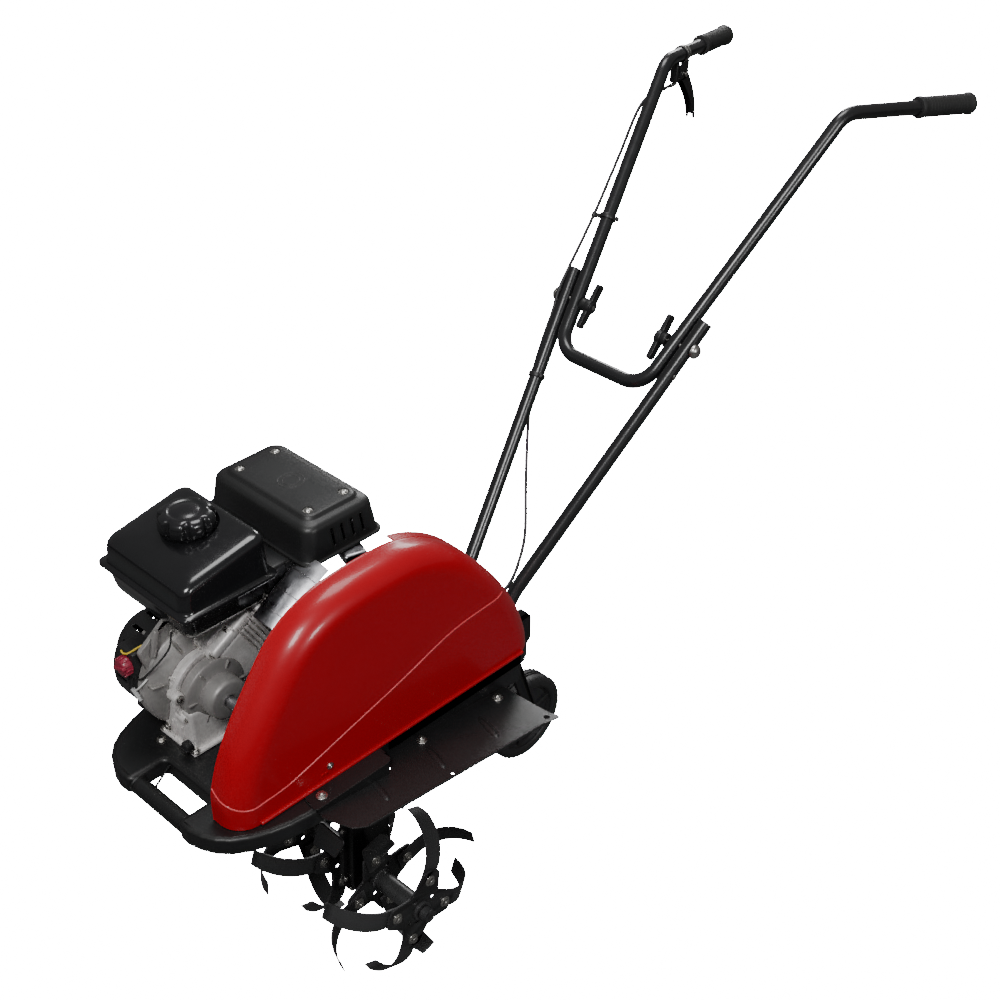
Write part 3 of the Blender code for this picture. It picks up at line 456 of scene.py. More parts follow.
red_shell = finish_of("red_moulded_shell", (0.37, 0.0006, 0.007), 0.34, coat=0.3, coat_rough=0.1,
                      specular=0.35, blot=4, tone=0.04,
                      grain=160, span=0.02, bump=0)
powder = finish_of("black_powder_coat", (0.0075, 0.0075, 0.008), 0.42, coat=0.08, coat_rough=0.25,
                   grain=650, span=0.07,
                   bump=0.00009, tone=0.25)
tube_paint = finish_of("black_tube_enamel", (0.012, 0.012, 0.013), 0.3, coat=0.3, coat_rough=0.15, grain=60,
                       span=0.03, bump=0.00003)
gloss = finish_of("black_gloss_enamel", (0.007, 0.007, 0.008), 0.2, coat=0.5, coat_rough=0.08, grain=90,
                  span=0.03,
                  bump=0.00004)
satin = finish_of("black_moulded_plastic", (0.012, 0.012, 0.0125), 0.42, grain=900, span=0.05, bump=0.00008)
cast = finish_of("cast_aluminium", (0.74, 0.72, 0.70), 0.5, metallic=0.35, grain=520, span=0.1,
                 bump=0.00022,
                 tone=0.22, blot=22)
dark_cast = finish_of("dark_painted_casting", (0.3, 0.29, 0.28), 0.45, metallic=0.4, grain=520, span=0.08,
                      bump=0.0002, tone=0.2)
steel = finish_of("bright_steel_sheet", (0.40, 0.40, 0.42), 0.34, metallic=1.0, grain=60, span=0.09,
                  bump=0.00016,
                  tone=0.12, blot=30)
zinc = finish_of("zinc_plated_fastener", (0.62, 0.61, 0.58), 0.28, metallic=1.0, grain=400, span=0.1,
                 tone=0.1)
rubber = finish_of("moulded_rubber", (0.016, 0.016, 0.016), 0.62, grain=1100, span=0.07, bump=0.00014,
                   specular=0.4)
knob_red = finish_of("red_knob_plastic", (0.24, 0.012, 0.035), 0.36, coat=0.2, grain=500, span=0.05,
                     bump=0.00005)
tread = finish_of("wheel_plastic", (0.02, 0.02, 0.021), 0.5, grain=520, span=0.08, bump=0.0002, tone=0.2)
tine_steel = finish_of("painted_tine_steel", (0.011, 0.011, 0.0115), 0.38, grain=300, span=0.07,
                       bump=0.00008, tone=0.3, wear=(0.07, 0.07, 0.072))
yellow_wire = finish_of("yellow_wire_sleeve", (0.62, 0.44, 0.03), 0.4, grain=300)
white_wire = finish_of("white_wire_sleeve", (0.62, 0.62, 0.6), 0.4, grain=300)
clear = finish_of("clear_connector_plastic", (0.55, 0.56, 0.56), 0.22, grain=300, span=0.05)
clear.node_tree.nodes["Principled BSDF"].inputs["Transmission Weight"].default_value = 0.35


# ---- one finished piece ----
def piece(name, body, slot, mat, *parts, bevel=0.5, angle=36.0, segments=2, stands_for=()):
    bm = bmesh.new()
    stack = list(parts)
    while stack:
        part = stack.pop()
        if isinstance(part, (list, tuple)):
            stack += list(part)
            continue
        mesh = bpy.data.meshes.new("part")
        part.to_mesh(mesh)
        part.free()
        bm.from_mesh(mesh)
        bpy.data.meshes.remove(mesh)
    moved(bm, HOME)
    mesh = bpy.data.meshes.new(name)
    bm.to_mesh(mesh)
    bm.free()
    obj = bpy.data.objects.new(name, mesh)
    bpy.context.scene.collection.objects.link(obj)
    mesh.materials.append(mat)
    mesh.shade_smooth()
    if bevel:
        edge = obj.modifiers.new("edges", "BEVEL")
        edge.width, edge.segments = bevel * U, segments
        edge.limit_method, edge.angle_limit = "ANGLE", math.radians(angle)
        edge.use_clamp_overlap = False
        edge.harden_normals = True
    else:
        mesh.set_sharp_from_angle(angle=math.radians(angle))
    if body:
        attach(obj, body)
    if stands_for:
        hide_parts(*stands_for)
    return obj


def keep(node, mat, bevel=0.0):
    """Give a carried-over CAD node its material and softened edges."""
    obj = frame_nodes[node]
    for slot in obj.material_slots:
        slot.material = mat
    if bevel:
        edge = obj.modifiers.new("edges", "BEVEL")
        edge.width, edge.segments = bevel * U, 2
        edge.limit_method, edge.angle_limit = "ANGLE", math.radians(40)
        edge.harden_normals = False


frame_nodes = {obj.name: obj for obj in bpy.data.objects if obj.type == "MESH"}

# ---- camera, floor and light ----
aim = Vector((-0.58005, 0.59232, -0.55919))
CAMERA_AT = Vector((1582, -881, 1729))   # in layout millimetres, so it follows the frame
PAPER_WHITE = 60.0                       # what the camera sees of the floor and the backdrop
lens = bpy.data.cameras.new("view")
lens.lens, lens.sensor_width = 57.456, 36.0
camera = bpy.data.objects.new("view", lens)
bpy.context.scene.collection.objects.link(camera)
camera.location = HOME @ CAMERA_AT
camera.rotation_euler = aim.to_track_quat("-Z", "Y").to_euler()
bpy.context.scene.camera = camera

pale = finish_of("pale_studio_floor", (0.86, 0.86, 0.86), 0.9, grain=60, tone=0.01, specular=0.1)
# the floor looks white to the camera, as an overexposed studio floor does, and throws back little light
f_nodes, f_link = links(pale)
f_ray, f_glow = f_nodes.new("ShaderNodeLightPath"), f_nodes.new("ShaderNodeEmission")
f_dim, f_mix = f_nodes.new("ShaderNodeBsdfDiffuse"), f_nodes.new("ShaderNodeMixShader")
f_add = f_nodes.new("ShaderNodeAddShader")
f_dim.inputs["Color"].default_value = (0.09, 0.09, 0.09, 1)
f_glow.inputs["Strength"].default_value = PAPER_WHITE
f_link(f_nodes["Principled BSDF"].outputs[0], f_add.inputs[0])
f_link(f_glow.outputs[0], f_add.inputs[1])
f_link(f_ray.outputs["Is Camera Ray"], f_mix.inputs["Fac"])
f_link(f_dim.outputs[0], f_mix.inputs[1])
f_link(f_add.outputs[0], f_mix.inputs[2])
f_link(f_mix.outputs[0], f_nodes["Material Output"].inputs["Surface"])
floor_mesh = bpy.data.meshes.new("floor")
floor_mesh.from_pydata([(-60, -60, 0), (60, -60, 0), (60, 60, 0), (-60, 60, 0)], [], [(0, 1, 2, 3)])
floor = bpy.data.objects.new("floor", floor_mesh)
floor_mesh.materials.append(pale)
bpy.context.scene.collection.objects.link(floor)


def lamp(name, at, target, size, watts, size_y=None):
    light = bpy.data.lights.new(name, "AREA")
    light.shape = "RECTANGLE"
    light.size, light.size_y, light.energy = size, size_y or size, watts
    obj = bpy.data.objects.new(name, light)
    obj.location = at
    obj.rotation_euler = (Vector(target) - Vector(at)).to_track_quat("-Z", "Y").to_euler()
    bpy.context.scene.collection.objects.link(obj)
    return obj


lamp("key", (1.5, -2.6, 4.0), (0, -0.2, 0.6), 0.9, 120, 1.4)
lamp("top", (-0.6, 0.5, 4.4), (0, -0.2, 0.6), 1.6, 70)
lamp("side", (4.4, -0.6, 2.6), (0, 0.0, 0.6), 0.8, 60, 0.8)
fill = lamp("front", (-2.6, -3.6, 1.6), (0, -0.4, 0.6), 1.6, 34, 1.8)
fill.visible_glossy = False
lamp("back", (-2.4, 3.6, 3.0), (0, 0.0, 0.6), 1.4, 80)

world = bpy.data.worlds.new("studio")
bpy.context.scene.world = world
world.use_nodes = True
w_nodes, w_link = world.node_tree.nodes, world.node_tree.links.new
w_nodes.clear()
ray = w_nodes.new("ShaderNodeLightPath")
seen, felt = w_nodes.new("ShaderNodeBackground"), w_nodes.new("ShaderNodeBackground")
seen.inputs["Color"].default_value = (1, 1, 1, 1)
seen.inputs["Strength"].default_value = PAPER_WHITE
felt.inputs["Color"].default_value = (1, 1, 1, 1)
felt.inputs["Strength"].default_value = 0.16
pick, out = w_nodes.new("ShaderNodeMixShader"), w_nodes.new("ShaderNodeOutputWorld")
w_link(ray.outputs["Is Camera Ray"], pick.inputs["Fac"])
w_link(felt.outputs[0], pick.inputs[1])
w_link(seen.outputs[0], pick.inputs[2])
w_link(pick.outputs[0], out.inputs["Surface"])


# ---- chassis deck ----
half = [(60, 58), (60, -4), (68, -10), (86, -11), (110, -5), (132, 6), (150, 22), (164, 43), (177, 73),
        (186, 105),
        (191, 140), (192, 180), (192, 283), (184, 298), (152, 314), (150, 330), (150, 640), (138, 660)]
half = rounded([(0, 58)] + half + [(0, 660)], 9, 4)[1:-1]
edge = half + [(-x, y) for x, y in reversed(half)]
lip = []
for inset, z in [(7, 20), (4.4, 19.6), (2.2, 18.4), (0.7, 16.4), (0, 13.6), (0, -9), (2.2, -9), (2.4, 13.4),
                 (4, 16.2), (7, 17)]:
    lip.append([(x, y, z) for x, y in grown(edge, -inset)])
rim = loft(lip, False, False)
top = slab(grown(edge, -7), 17, 20, [rounded([(-28, 335), (28, 335), (28, 480), (-28, 480)], 8, 5,
                                             True)[::-1]])
bar = tube([(-70, 6, 0.5), (70, 6, 0.5)], 14.5, 40)
strut = tube([(-55, 66, 12), (-33, 14, 3)], 2.2, 16)
side_rails = both(side_slab(rounded([(296, 17), (296, -5), (330, -12), (628, -44), (634, 17)][::-1], 5, 4,
                                    True), 147.4, 150.0))
side_rails += [block((-147.6, 631, -44), (-130, 634, 17)), block((130, 631, -44), (147.6, 634, 17))]
lug_shape = rounded([(560, 18.5), (655, 18), (716, 18), (740, -10), (740, -58), (722, -78), (628, -78),
                     (560, -30)][::-1], 12, 6, True)
lugs = both(side_slab(lug_shape, LUG_X, LUG_X + 3.5, [circle(PIVOT_Y, PIVOT_Z, 6.4)[::-1]]))
web = block((-LUG_X - 2, 640, -58), (LUG_X + 2, 643.5, 18.6))
tab = side_slab([(20, -9), (44, -9), (38, -26), (33, -30), (28, -22)][::-1], -128, -124.5)
beads = [weld([(sx * 60.5, 6 + 14.5 * math.cos(a), 0.5 + 14.5 * math.sin(a)) for a in (0.2, 0.9, 1.6, 2.3,
        2.9)])
         for sx in (1, -1)]
beads += both(weld([(LUG_X + 4.4, y, 16.6) for y in (575, 610, 650, 690, 712)]),
              weld([(LOWER_X + 12 * math.cos(a), 668 + 13 * math.sin(a), 21) for a in (0, 1.5, 3, 4.5,
                      6.0)]))
piece("deck_pressing", "frame", "black_paint", powder, rim, top, bar, strut, side_rails, lugs, web, tab,
      bevel=0.8, stands_for=("chassis_deck",))
piece("deck_welds", "frame", "black_paint", powder, beads, bevel=0, angle=60)
deck_bolts = [bolt((x, y, DECK), (0, 0, 1), 5.5) for x, y in
              ((-104, 116), (-104, 178), (-44, 116), (-44, 178), (-100, 78), (112, 600), (-112, 600))]
piece("deck_bolts", "frame", "bright_steel", zinc, deck_bolts, bevel=0.3)


# ---- fenders ----
def fender_z(y):
    return 14.0 - 0.115 * (y - 150.0)


shape = rounded([(192.5, 152), (206, 148), (252, 166), (264, 186), (264, 575), (268, 604), (258, 603), (250,
        598),
                 (206, 594), (144, 590), (144, 318), (186, 302), (192.5, 288)], 7, 5, True)
ledge = slab(rounded([(160, 150), (193, 146), (193, 296), (186, 302), (160, 306)], 5, 4, True), DECK + 0.3,
             DECK + 2.3)
step = loft([[(192.2, y, z0), (194.2, y, z0), (194.2, y, z1), (192.2, y, z1)] for y, z0, z1 in
             ((150, 13, DECK + 2.2), (200, 7.4, DECK + 2.2), (250, 1.8, DECK + 2.2), (292, -3,
                     DECK + 2.2))])
holes = [circle(257, 367, 2.6, 16)[::-1], circle(254, 585, 5.0, 20)[::-1]]
plate = slab(shape, -1.1, 1.1, holes)
hem = sweep([(262.6, y, 0) for y in range(190, 590, 20)], disc(12, 2.4, 2.4))
ribs = []
for k in range(3):
    y = 256 + 118 * k
    path = smooth([(184, y + 8, 0), (192, y + 5, 0), (212, y, 0), (232, y - 5, 0), (240, y - 8, 0)], 6)
    ribs.append(sweep(path, disc(16, 7.0, 3.4), up=(0, 0, 1),
                      scale=lambda t: math.sin(math.pi * (0.04 + 0.92 * t)) ** 0.5))
fold = slab(rounded([(196, -2), (254, 0), (250, 30), (202, 34)], 5, 4, True), -1.1, 1.1, (),
            Matrix.Translation((0, 150, -2)) @ Matrix.Rotation(math.radians(-128), 4, "X"))
for part in (plate, hem, *ribs):
    for vert in part.verts:
        vert.co.z += fender_z(vert.co.y)
fender_parts = [plate, hem, *ribs, fold, ledge, step]
twins = [twin(part) for part in fender_parts]
piece("fender_pressing_left", "frame", "black_paint", powder, fender_parts, bevel=0.5,
      stands_for=("fender_left",))
piece("fender_pressing_right", "frame", "black_paint", powder, twins, bevel=0.5,
      stands_for=("fender_right",))
fixings = []
for x, y, z in ((176, 173, DECK + 2.3), (166, 386, None), (165, 560, None)):
    fixings.append(both(*bolt((x, y, z or fender_z(y) + 1.1), (0, 0, 1), 6.4, stud=3.5)))
piece("fender_nuts", "frame", "bright_steel", zinc, fixings, bevel=0.3)


# ---- belt cover ----
COVER_BASE = DECK + 1.5
curve = [(30, COVER_BASE), (33, 80), (60, 152), (111, 232), (166, 297), (235, 331), (320, 341), (415, 334),
         (500, 289), (578, 205), (630, 125), (655, 60), (660, COVER_BASE)]
outline = smooth(curve, 9)[::-1]


def cover_ring(x, inset):
    ring = []
    for (y, z), (_, height) in zip(grown(outline, -inset), outline):
        flat = height <= COVER_BASE + 0.01
        ring.append(Vector((x, y, COVER_BASE if flat else max(z, COVER_BASE + 1.0 + 0.1 * height))))
    return ring


rings = [cover_ring(98, 0.0), cover_ring(98.4, -0.6), cover_ring(99.6, -0.6), cover_ring(100.4, 0.0),
         cover_ring(104, 0.0)]
for k in range(13):
    a = math.radians(7.5 * k)
    rings.append(cover_ring(114 + 42 * math.sin(a), 38 * (1 - math.cos(a))))
heart = Vector((157.5, 350, 150))
edge_ring = rings[-1]
for t in (0.04, 0.12, 0.28, 0.5, 0.75):
    rings.append([p.lerp(heart, t) for p in edge_ring])
body = loft(rings, False, True)
walls = BVHTree.FromBMesh(body)


def on_cover(y, z, lift=0.0):
    hit, normal, *_ = walls.ray_cast(Vector((300, y, z)), Vector((-1, 0, 0)))
    return hit + Vector((1, 0, 0)) * lift if hit is not None else Vector((156, y, z))


crease = smooth([(99, 33, 82), (107, 36, 76), (124, 42, 67), (140, 53, 60), (150, 68, 57), (158, 86, 58),
                 (160, 118, 60),
                 (160, 152, 67), (160, 251, 95), (160, 355, 124), (160, 463, 157), (158, 545, 165), (150,
                         590, 166)], 8)
crease_path, crease_up = [], []
for p in crease:
    hit, normal, *_ = walls.find_nearest(p)
    crease_path.append(hit - normal * 0.5)
    crease_up.append(normal)
crease_rib = sweep(crease_path, [(-2.2, -0.6), (-0.9, 1.3), (0, 1.6), (0.9, 1.3), (2.2, -0.6)],
                   up=crease_up)
bead = pillow((148, 72, COVER_BASE - 0.5), (161, 628, COVER_BASE + 5.5), 2.4)
front_bead = sweep([(148, 74, COVER_BASE + 2.5), (140, 62, COVER_BASE + 2.5), (124, 46, COVER_BASE + 2.5),
                    (112, 37, COVER_BASE + 2.5), (100, 32, COVER_BASE + 2.5)], disc(14, 3.2))
rear_bead = sweep([(148, 626, COVER_BASE + 2.8), (144, 636, COVER_BASE + 2.8), (134, 648, COVER_BASE + 2.8),
                   (116, 657, COVER_BASE + 2.8), (76, 660.4, COVER_BASE + 2.8)], disc(14, 3.8))
deep_path = [p for p in grown(outline, -0.6) if p[0] > 400 and p[1] > COVER_BASE + 6]
deep_wall = sweep([(87.5, y, z) for y, z in deep_path], [(-1.4, -6), (1.4, -6), (1.4, 13), (-1.4, 13)],
                  up=(1, 0, 0))
cover = piece("belt_cover_shell", "frame", "red_paint", red_shell, body, bevel=0, angle=50,
              stands_for=("belt_cover",))
thick = cover.modifiers.new("wall", "SOLIDIFY")
thick.thickness, thick.offset = 2.6 * U, -1.0
piece("belt_cover_bead", "frame", "red_paint", red_shell, bead, front_bead, rear_bead, deep_wall, bevel=0.6)
# the crease rib is drawn in a lighter red than the shell: a painted highlight along the crease
painted_highlight_red = finish_of("red_rib_painted_highlight", (0.7, 0.07, 0.08), 0.3, coat=0.3, grain=160, span=0.02, bump=0)
piece("belt_cover_crease", "frame", "red_paint", painted_highlight_red, crease_rib, bevel=0, angle=70)
cover_screws = [pan_screw(on_cover(y, z), (1, 0, 0), 4.6) for y, z in ((208, 47),)]
piece("belt_cover_screws", "frame", "bright_steel", zinc, cover_screws, bevel=0)
clips = [pillow(Vector((-1.5, -7, -2.4)) + on_cover(196, 38), Vector((1.2, -1, 2.4)) + on_cover(196, 38),
                0.9),
         pillow(Vector((-1.5, 1, -2.4)) + on_cover(196, 38), Vector((1.2, 7, 2.4)) + on_cover(196, 38),
                0.9)]
piece("belt_cover_pips", "frame", "red_paint", red_shell, clips, bevel=0, angle=60)


# ---- carried-over drive parts ----
for node, mat, soft in (("belt_backplate", powder, 0.4), ("chain_case_left", powder, 0.8),
                        ("chain_case_right", powder, 0.8), ("crankshaft", steel, 0.3), ("engine_pulley",
                                cast, 0.4),
                        ("driven_pulley", cast, 0.5), ("drive_belt", rubber, 0.6), ("idler_arm", zinc, 0.4),
                        ("idler_pulley", satin, 0.4), ("idler_spring", steel, 0.0), ("tine_shaft",
                                tine_steel, 0.4)):
    keep(node, mat, soft)
case_outline = grown(capsule((INPUT_Y, INPUT_Z), 46.0, (TINE.y, TINE.z), 42.0, 12), 4.5)
fasteners = []
for y, z in case_outline[1::3] + [(INPUT_Y - 47, 10), (INPUT_Y - 52, -160), (TINE.y - 46, -300),
                                  (INPUT_Y + 43, 10), (INPUT_Y + 30, -160), (TINE.y + 46, -300)]:
    fasteners += both(*bolt((2.6, y, z), (1, 0, 0), 4.2, washer=1.2, tall=0.6))
piece("chain_case_bolts", "frame", "bright_steel", zinc, fasteners, bevel=0.2)
bosses = both(turn([(14, 0), (24, 0), (24, 2.5), (21, 5), (14, 5)], (18.4, TINE.y, TINE.z), (1, 0, 0), 48),
              side_slab(rounded([(INPUT_Y - 16, 60), (INPUT_Y + 16, 60), (TINE.y + 14, -330), (TINE.y - 14,
                      -330)],
                                9, 5, True), 17.5, 20.2))
piece("chain_case_bosses", "frame", "black_paint", powder, bosses, bevel=1.0)
seals = both(turn([(12.9, 0), (13.9, 0), (20, 0), (20, 1.6), (14.5, 2.2), (12.9, 1.2)], (23.3, TINE.y,
        TINE.z),
                  (1, 0, 0), 40))
piece("tine_shaft_seals", "frame", "rubber", rubber, seals, bevel=0, angle=40)


# ---- tines ----
def hub_shape(first):
    corners = []
    for k in range(4):
        middle = math.radians(first + 90 * k)
        for offset, reach in ((-15, 79), (0, 80), (15, 79)):
            a = middle + math.radians(offset)
            corners.append((TINE.y + reach * math.cos(a), TINE.z + reach * math.sin(a)))
        a = middle + math.radians(45)
        corners.append((TINE.y + 46.0 * math.cos(a), TINE.z + 46.0 * math.sin(a)))
    return rounded(corners, 9, 6, True)


hub_in, hub_out = 42.0, 145.0
blade_path = smooth([(42, 0), (72, 0), (98, 1), (122, 10), (143, 27), (157, 50), (162.5, 72)], 6)
for side, firsts, mirror in (("left", (14.0, 68.0), Matrix()), ("right", (72.0, -4.0), MIRROR)):
    fixing, parts = [], []
    for x, first in ((hub_in, firsts[0]), (hub_out, firsts[1])):
        hole = [circle(TINE.y, TINE.z, 13.2)[::-1]]
        for k in range(4):
            a = math.radians(first + 90 * k + 45)
            hole.append(circle(TINE.y + 30 * math.cos(a), TINE.z + 30 * math.sin(a), 4.4, 20)[::-1])
        parts.append(side_slab(hub_shape(first), x, x + 4, hole))
        ring = [(x + (4.4 if x == hub_in else -0.4), TINE.y + 19 * math.cos(TURN * i / 20),
                 TINE.z + 19 * math.sin(TURN * i / 20)) for i in range(21)]
        parts.append(weld(ring, 2.6))
        for k in range(4):
            a = math.radians(first + 90 * k)
            outwards = x == hub_in
            blade_face = x + 8.4 if outwards else x - 4.4
            at = Vector((0, TINE.y + 60 * math.cos(a), TINE.z + 60 * math.sin(a)))
            fixing += bolt(at + Vector((blade_face if outwards else x + 4, 0, 0)), (1, 0, 0), 7.2,
                           stud=4.0 if outwards else 0)
            fixing += bolt(at + Vector((x if outwards else blade_face, 0, 0)), (-1, 0, 0), 7.2,
                           stud=0 if outwards else 4.0)
            # the strip narrows to a ground, slanted tip
            bm = bmesh.new()
            rows = []
            for i, (reach, lift) in enumerate(blade_path):
                t = i / (len(blade_path) - 1)
                run = Vector(blade_path[min(i + 1, len(blade_path) - 1)]) - Vector(blade_path[max(i - 1,
                        0)])
                normal = Vector((-run.y, run.x)).normalized()
                width = 18.5 * (1.0 if t < 0.6 else 1.0 - 0.06 * (t - 0.6) / 0.4)
                slant = 7.0 * max(0.0, (t - 0.86) / 0.14)
                thin = 2.0 if t < 0.5 else 2.0 - 1.0 * (t - 0.5) / 0.5
                row = []
                for w, n in ((-width + slant, -thin), (-width + slant * 0.4, thin), (width - 4.5, thin),
                             (width, 0.2 - 0.1 * thin), (width - 0.5, -thin)):
                    row.append(bm.verts.new((reach + normal.x * n, lift + normal.y * n, w)))
                rows.append(row)
            for p, q in zip(rows, rows[1:]):
                for i in range(5):
                    j = (i + 1) % 5
                    bm.faces.new((p[i], p[j], q[j], q[i]))
            bm.faces.new(rows[0])
            bm.faces.new(rows[-1])
            bmesh.ops.recalc_face_normals(bm, faces=bm.faces)
            lift = Matrix.Scale(1 if outwards else -1, 4, (0, 1, 0))
            stand = Matrix(((0, 1, 0, 0), (1, 0, 0, 0), (0, 0, 1, 0), (0, 0, 0, 1)))
            seat = x + 6.35 if outwards else x - 2.35
            moved(bm, Matrix.Translation((seat, TINE.y, TINE.z)) @ Matrix.Rotation(a, 4,
                    "X") @ stand @ lift)
            moved(bm, mirror)
            bmesh.ops.recalc_face_normals(bm, faces=bm.faces)
            kind = "inner" if outwards else "outer"
            piece(f"{side}_{kind}_blade_{k + 1}", "tine_rotor", "black_paint", tine_steel, bm, bevel=0.35,
                  angle=25,
                  stands_for=(f"tine_{side}_{kind}_{k + 1}",))
    parts.append(turn([(13.0, 154), (18.5, 154), (18.5, 24), (13.0, 24)], (0, TINE.y, TINE.z), (1, 0, 0),
                      48))
    pin_x = 138.0
    cross = cyl((pin_x, TINE.y - 27, TINE.z), (pin_x, TINE.y + 27, TINE.z), 3.6, n=20)
    clip = tube(smooth([(pin_x, TINE.y + 24, TINE.z - 4), (pin_x + 1, TINE.y + 30, TINE.z + 6),
                        (pin_x, TINE.y + 22, TINE.z + 20), (pin_x, TINE.y + 2, TINE.z + 24),
                        (pin_x, TINE.y - 18, TINE.z + 18), (pin_x, TINE.y - 26, TINE.z + 3)], 6), 1.5, 12)
    socket = turn([(6.5, -14), (6.5, 1.4), (12.6, 1.4), (13.2, 0.6), (13.2, -14)], (171.2, TINE.y, TINE.z),
                  (1, 0, 0), 32)
    parts.append(socket)
    # a thin black hexagon disc in the socket's mouth: painted shade for the dark hole in the shaft end
    recess = [cyl((171.4, TINE.y, TINE.z), (172.2, TINE.y, TINE.z), 6.4, n=6)]
    for group in (parts, fixing, [cross, clip], recess):
        for part in group:
            moved(part, mirror)
    piece(f"{side}_tine_hub", "tine_rotor", "black_paint", tine_steel, parts, bevel=0.5,
          stands_for=(f"tine_hub_{side}",))
    piece(f"{side}_tine_bolts", "tine_rotor", "bright_steel", zinc, fixing, bevel=0.3)
    piece(f"{side}_shaft_recess", "tine_rotor", "rubber", rubber, recess, bevel=0)
    piece(f"{side}_hitch_pin", "tine_rotor", "bright_steel", zinc, cross, clip, bevel=0.2)


# ---- transport wheel ----
fork = capsule((PIVOT_Y, PIVOT_Z), 14.0, (WHEEL_Y, WHEEL_Z), 12.0, 14)
lean = math.atan2(WHEEL_Z - PIVOT_Z, WHEEL_Y - PIVOT_Y)


def along_fork(t, side=0.0):
    y = PIVOT_Y + (WHEEL_Y - PIVOT_Y) * t - math.sin(lean) * side
    z = PIVOT_Z + (WHEEL_Z - PIVOT_Z) * t + math.cos(lean) * side
    return y, z


arms = both(side_slab(fork, 35, 38, [circle(*along_fork(0.42), 5, 20)[::-1]]))
for offset in (-12.4, 12.4):
    path = [(36.2, *along_fork(t, offset * (1 - 0.12 * t))) for t in (0.06, 0.3, 0.6, 0.94)]
    arms += both(sweep([Vector(p) + Vector((3.0, 0, 0)) for p in path], [(-1.2, -3.4), (1.2, -3.4),
            (1.2, 3.4), (-1.2, 3.4)],
                       up=(1, 0, 0)))
bridge = block((-36.5, 722, -150), (36.5, 726, -96), Matrix.Translation((0, 724, -123))
               @ Matrix.Rotation(math.radians(18), 4, "X") @ Matrix.Translation((0, -724, 123)))
spacer = cyl((-LUG_X + 0.4, PIVOT_Y, PIVOT_Z), (LUG_X - 0.4, PIVOT_Y, PIVOT_Z), 10, n=40)
piece("wheel_fork", "wheel_arm", "black_paint", powder, arms, bridge, spacer, bevel=0.6,
      stands_for=("wheel_bracket",))
axles = [cyl((-42, WHEEL_Y, WHEEL_Z), (42, WHEEL_Y, WHEEL_Z), 5, n=28), cyl((-76, PIVOT_Y, PIVOT_Z),
        (76, PIVOT_Y, PIVOT_Z), 6, n=28)]
for sx in (1, -1):
    axles += bolt((sx * 38, WHEEL_Y, WHEEL_Z), (sx, 0, 0), 8, stud=2.5)
    axles += bolt((sx * 71.8, PIVOT_Y, PIVOT_Z), (sx, 0, 0), 8.5, stud=3)
piece("wheel_axle_and_pivot", "wheel_arm", "bright_steel", zinc, axles, bevel=0.3)

tyre = turn([(66, 17.5), (70, 21.5), (78, 22.5), (83.5, 21), (86.6, 17.5), (87.6, 12), (88, 5), (85.4, 4.2),
             (85.4, 1.4),
             (88, 0.7), (88, -0.7), (85.4, -1.4), (85.4, -4.2), (88, -5), (87.6, -12), (86.6, -17.5), (83.5,
                     -21),
             (78, -22.5), (70, -21.5), (66, -17.5)], (0, WHEEL_Y, WHEEL_Z), (1, 0, 0), 96)
face = turn([(14, 15), (24, 11), (62, 10), (67, 17), (69, 17), (69, -17), (67, -17), (62, -10), (24, -11),
             (14, -15)],
            (0, WHEEL_Y, WHEEL_Z), (1, 0, 0), 72)
hub = turn([(5.4, 27.6), (13, 27.6), (14.4, 26), (17, 20), (17, -20), (14.4, -26), (13, -27.6), (5.4,
        -27.6)],
           (0, WHEEL_Y, WHEEL_Z), (1, 0, 0), 48)
bars = []
for k in range(6):
    for sx in (1, -1):
        spoke = pillow((sx * 10 - 4, 15, -4), (sx * 10 + 4, 67, 4), 1.6, 3)
        bars.append(moved(spoke, Matrix.Translation((0, WHEEL_Y,
                                                     WHEEL_Z)) @ Matrix.Rotation(math.radians(60 * k + 15),
                                                             4, "X")))
lugs = []
for k in range(40):
    for sx in (1, -1):
        lug = pillow((sx * 13.6 - 5.4, -1.7, 85.0), (sx * 13.6 + 5.4, 1.7, 87.9), 0.8, 2)
        lugs.append(moved(lug, Matrix.Translation((0, WHEEL_Y, WHEEL_Z))
                          @ Matrix.Rotation(TURN * (k + 0.25 * sx) / 40, 4, "X")))
piece("wheel_moulding", "transport_wheel", "satin_plastic", tread, tyre, face, hub, bars, lugs, bevel=0,
      angle=42,
      stands_for=("wheel",))


# ---- engine ----
def on_face(x, radius, degrees):
    a = math.radians(degrees)
    return Vector((x, CRANK_Y + radius * math.cos(a), CRANK_Z + radius * math.sin(a)))


centre = (0, CRANK_Y, CRANK_Z)
casing = turn([(0, -60), (52, -60), (56, -57), (63, -57), (64, -58), (64, -65), (63, -66), (56, -67), (54,
        -69), (54, -90),
               (0, -90)], centre, (1, 0, 0), 96)
bell = turn([(54.5, -84), (57, -86), (82, -97.5), (86.5, -100), (88, -102), (88, BLOWER_X), (20, BLOWER_X),
             (20, -84)], centre,
            (1, 0, 0), 96)
slit = sweep([on_face(-110, 88, a) for a in range(196, 241, 4)], [(-3.2, -6), (3.2, -6), (3.2, 6),
        (-3.2, 6)],
             up=[on_face(0, 1, a) - Vector(centre) for a in range(196, 241, 4)])
bell = carve(bell, slit)
bell_ribs = [moved(pillow((-104, 54, -2), (-86, 84, 2), 1.2, 2),
                   Matrix.Translation(centre) @ Matrix.Rotation(math.radians(a), 4, "X"))
             for a in (60, 110, 165, 262)]
air_guide = [side_slab(rounded([(66, 196), (78, 150), (112, 150), (196, 236), (120, 236)][::-1], 8, 5,
                               True), -112, -104,
                       [circle(128, 205, 3.4, 20)[::-1]]),
             turn([(3.4, 0), (7, 0), (7, 3), (3.4, 3)], (-104, 128, 205), (1, 0, 0), 24),
             moved(pillow((-4, -5, -24), (4, 5, 24), 3.4, 4),
                   Matrix.Translation((-100, 92, 205)) @ Matrix.Rotation(-0.25, 4, "X"))]
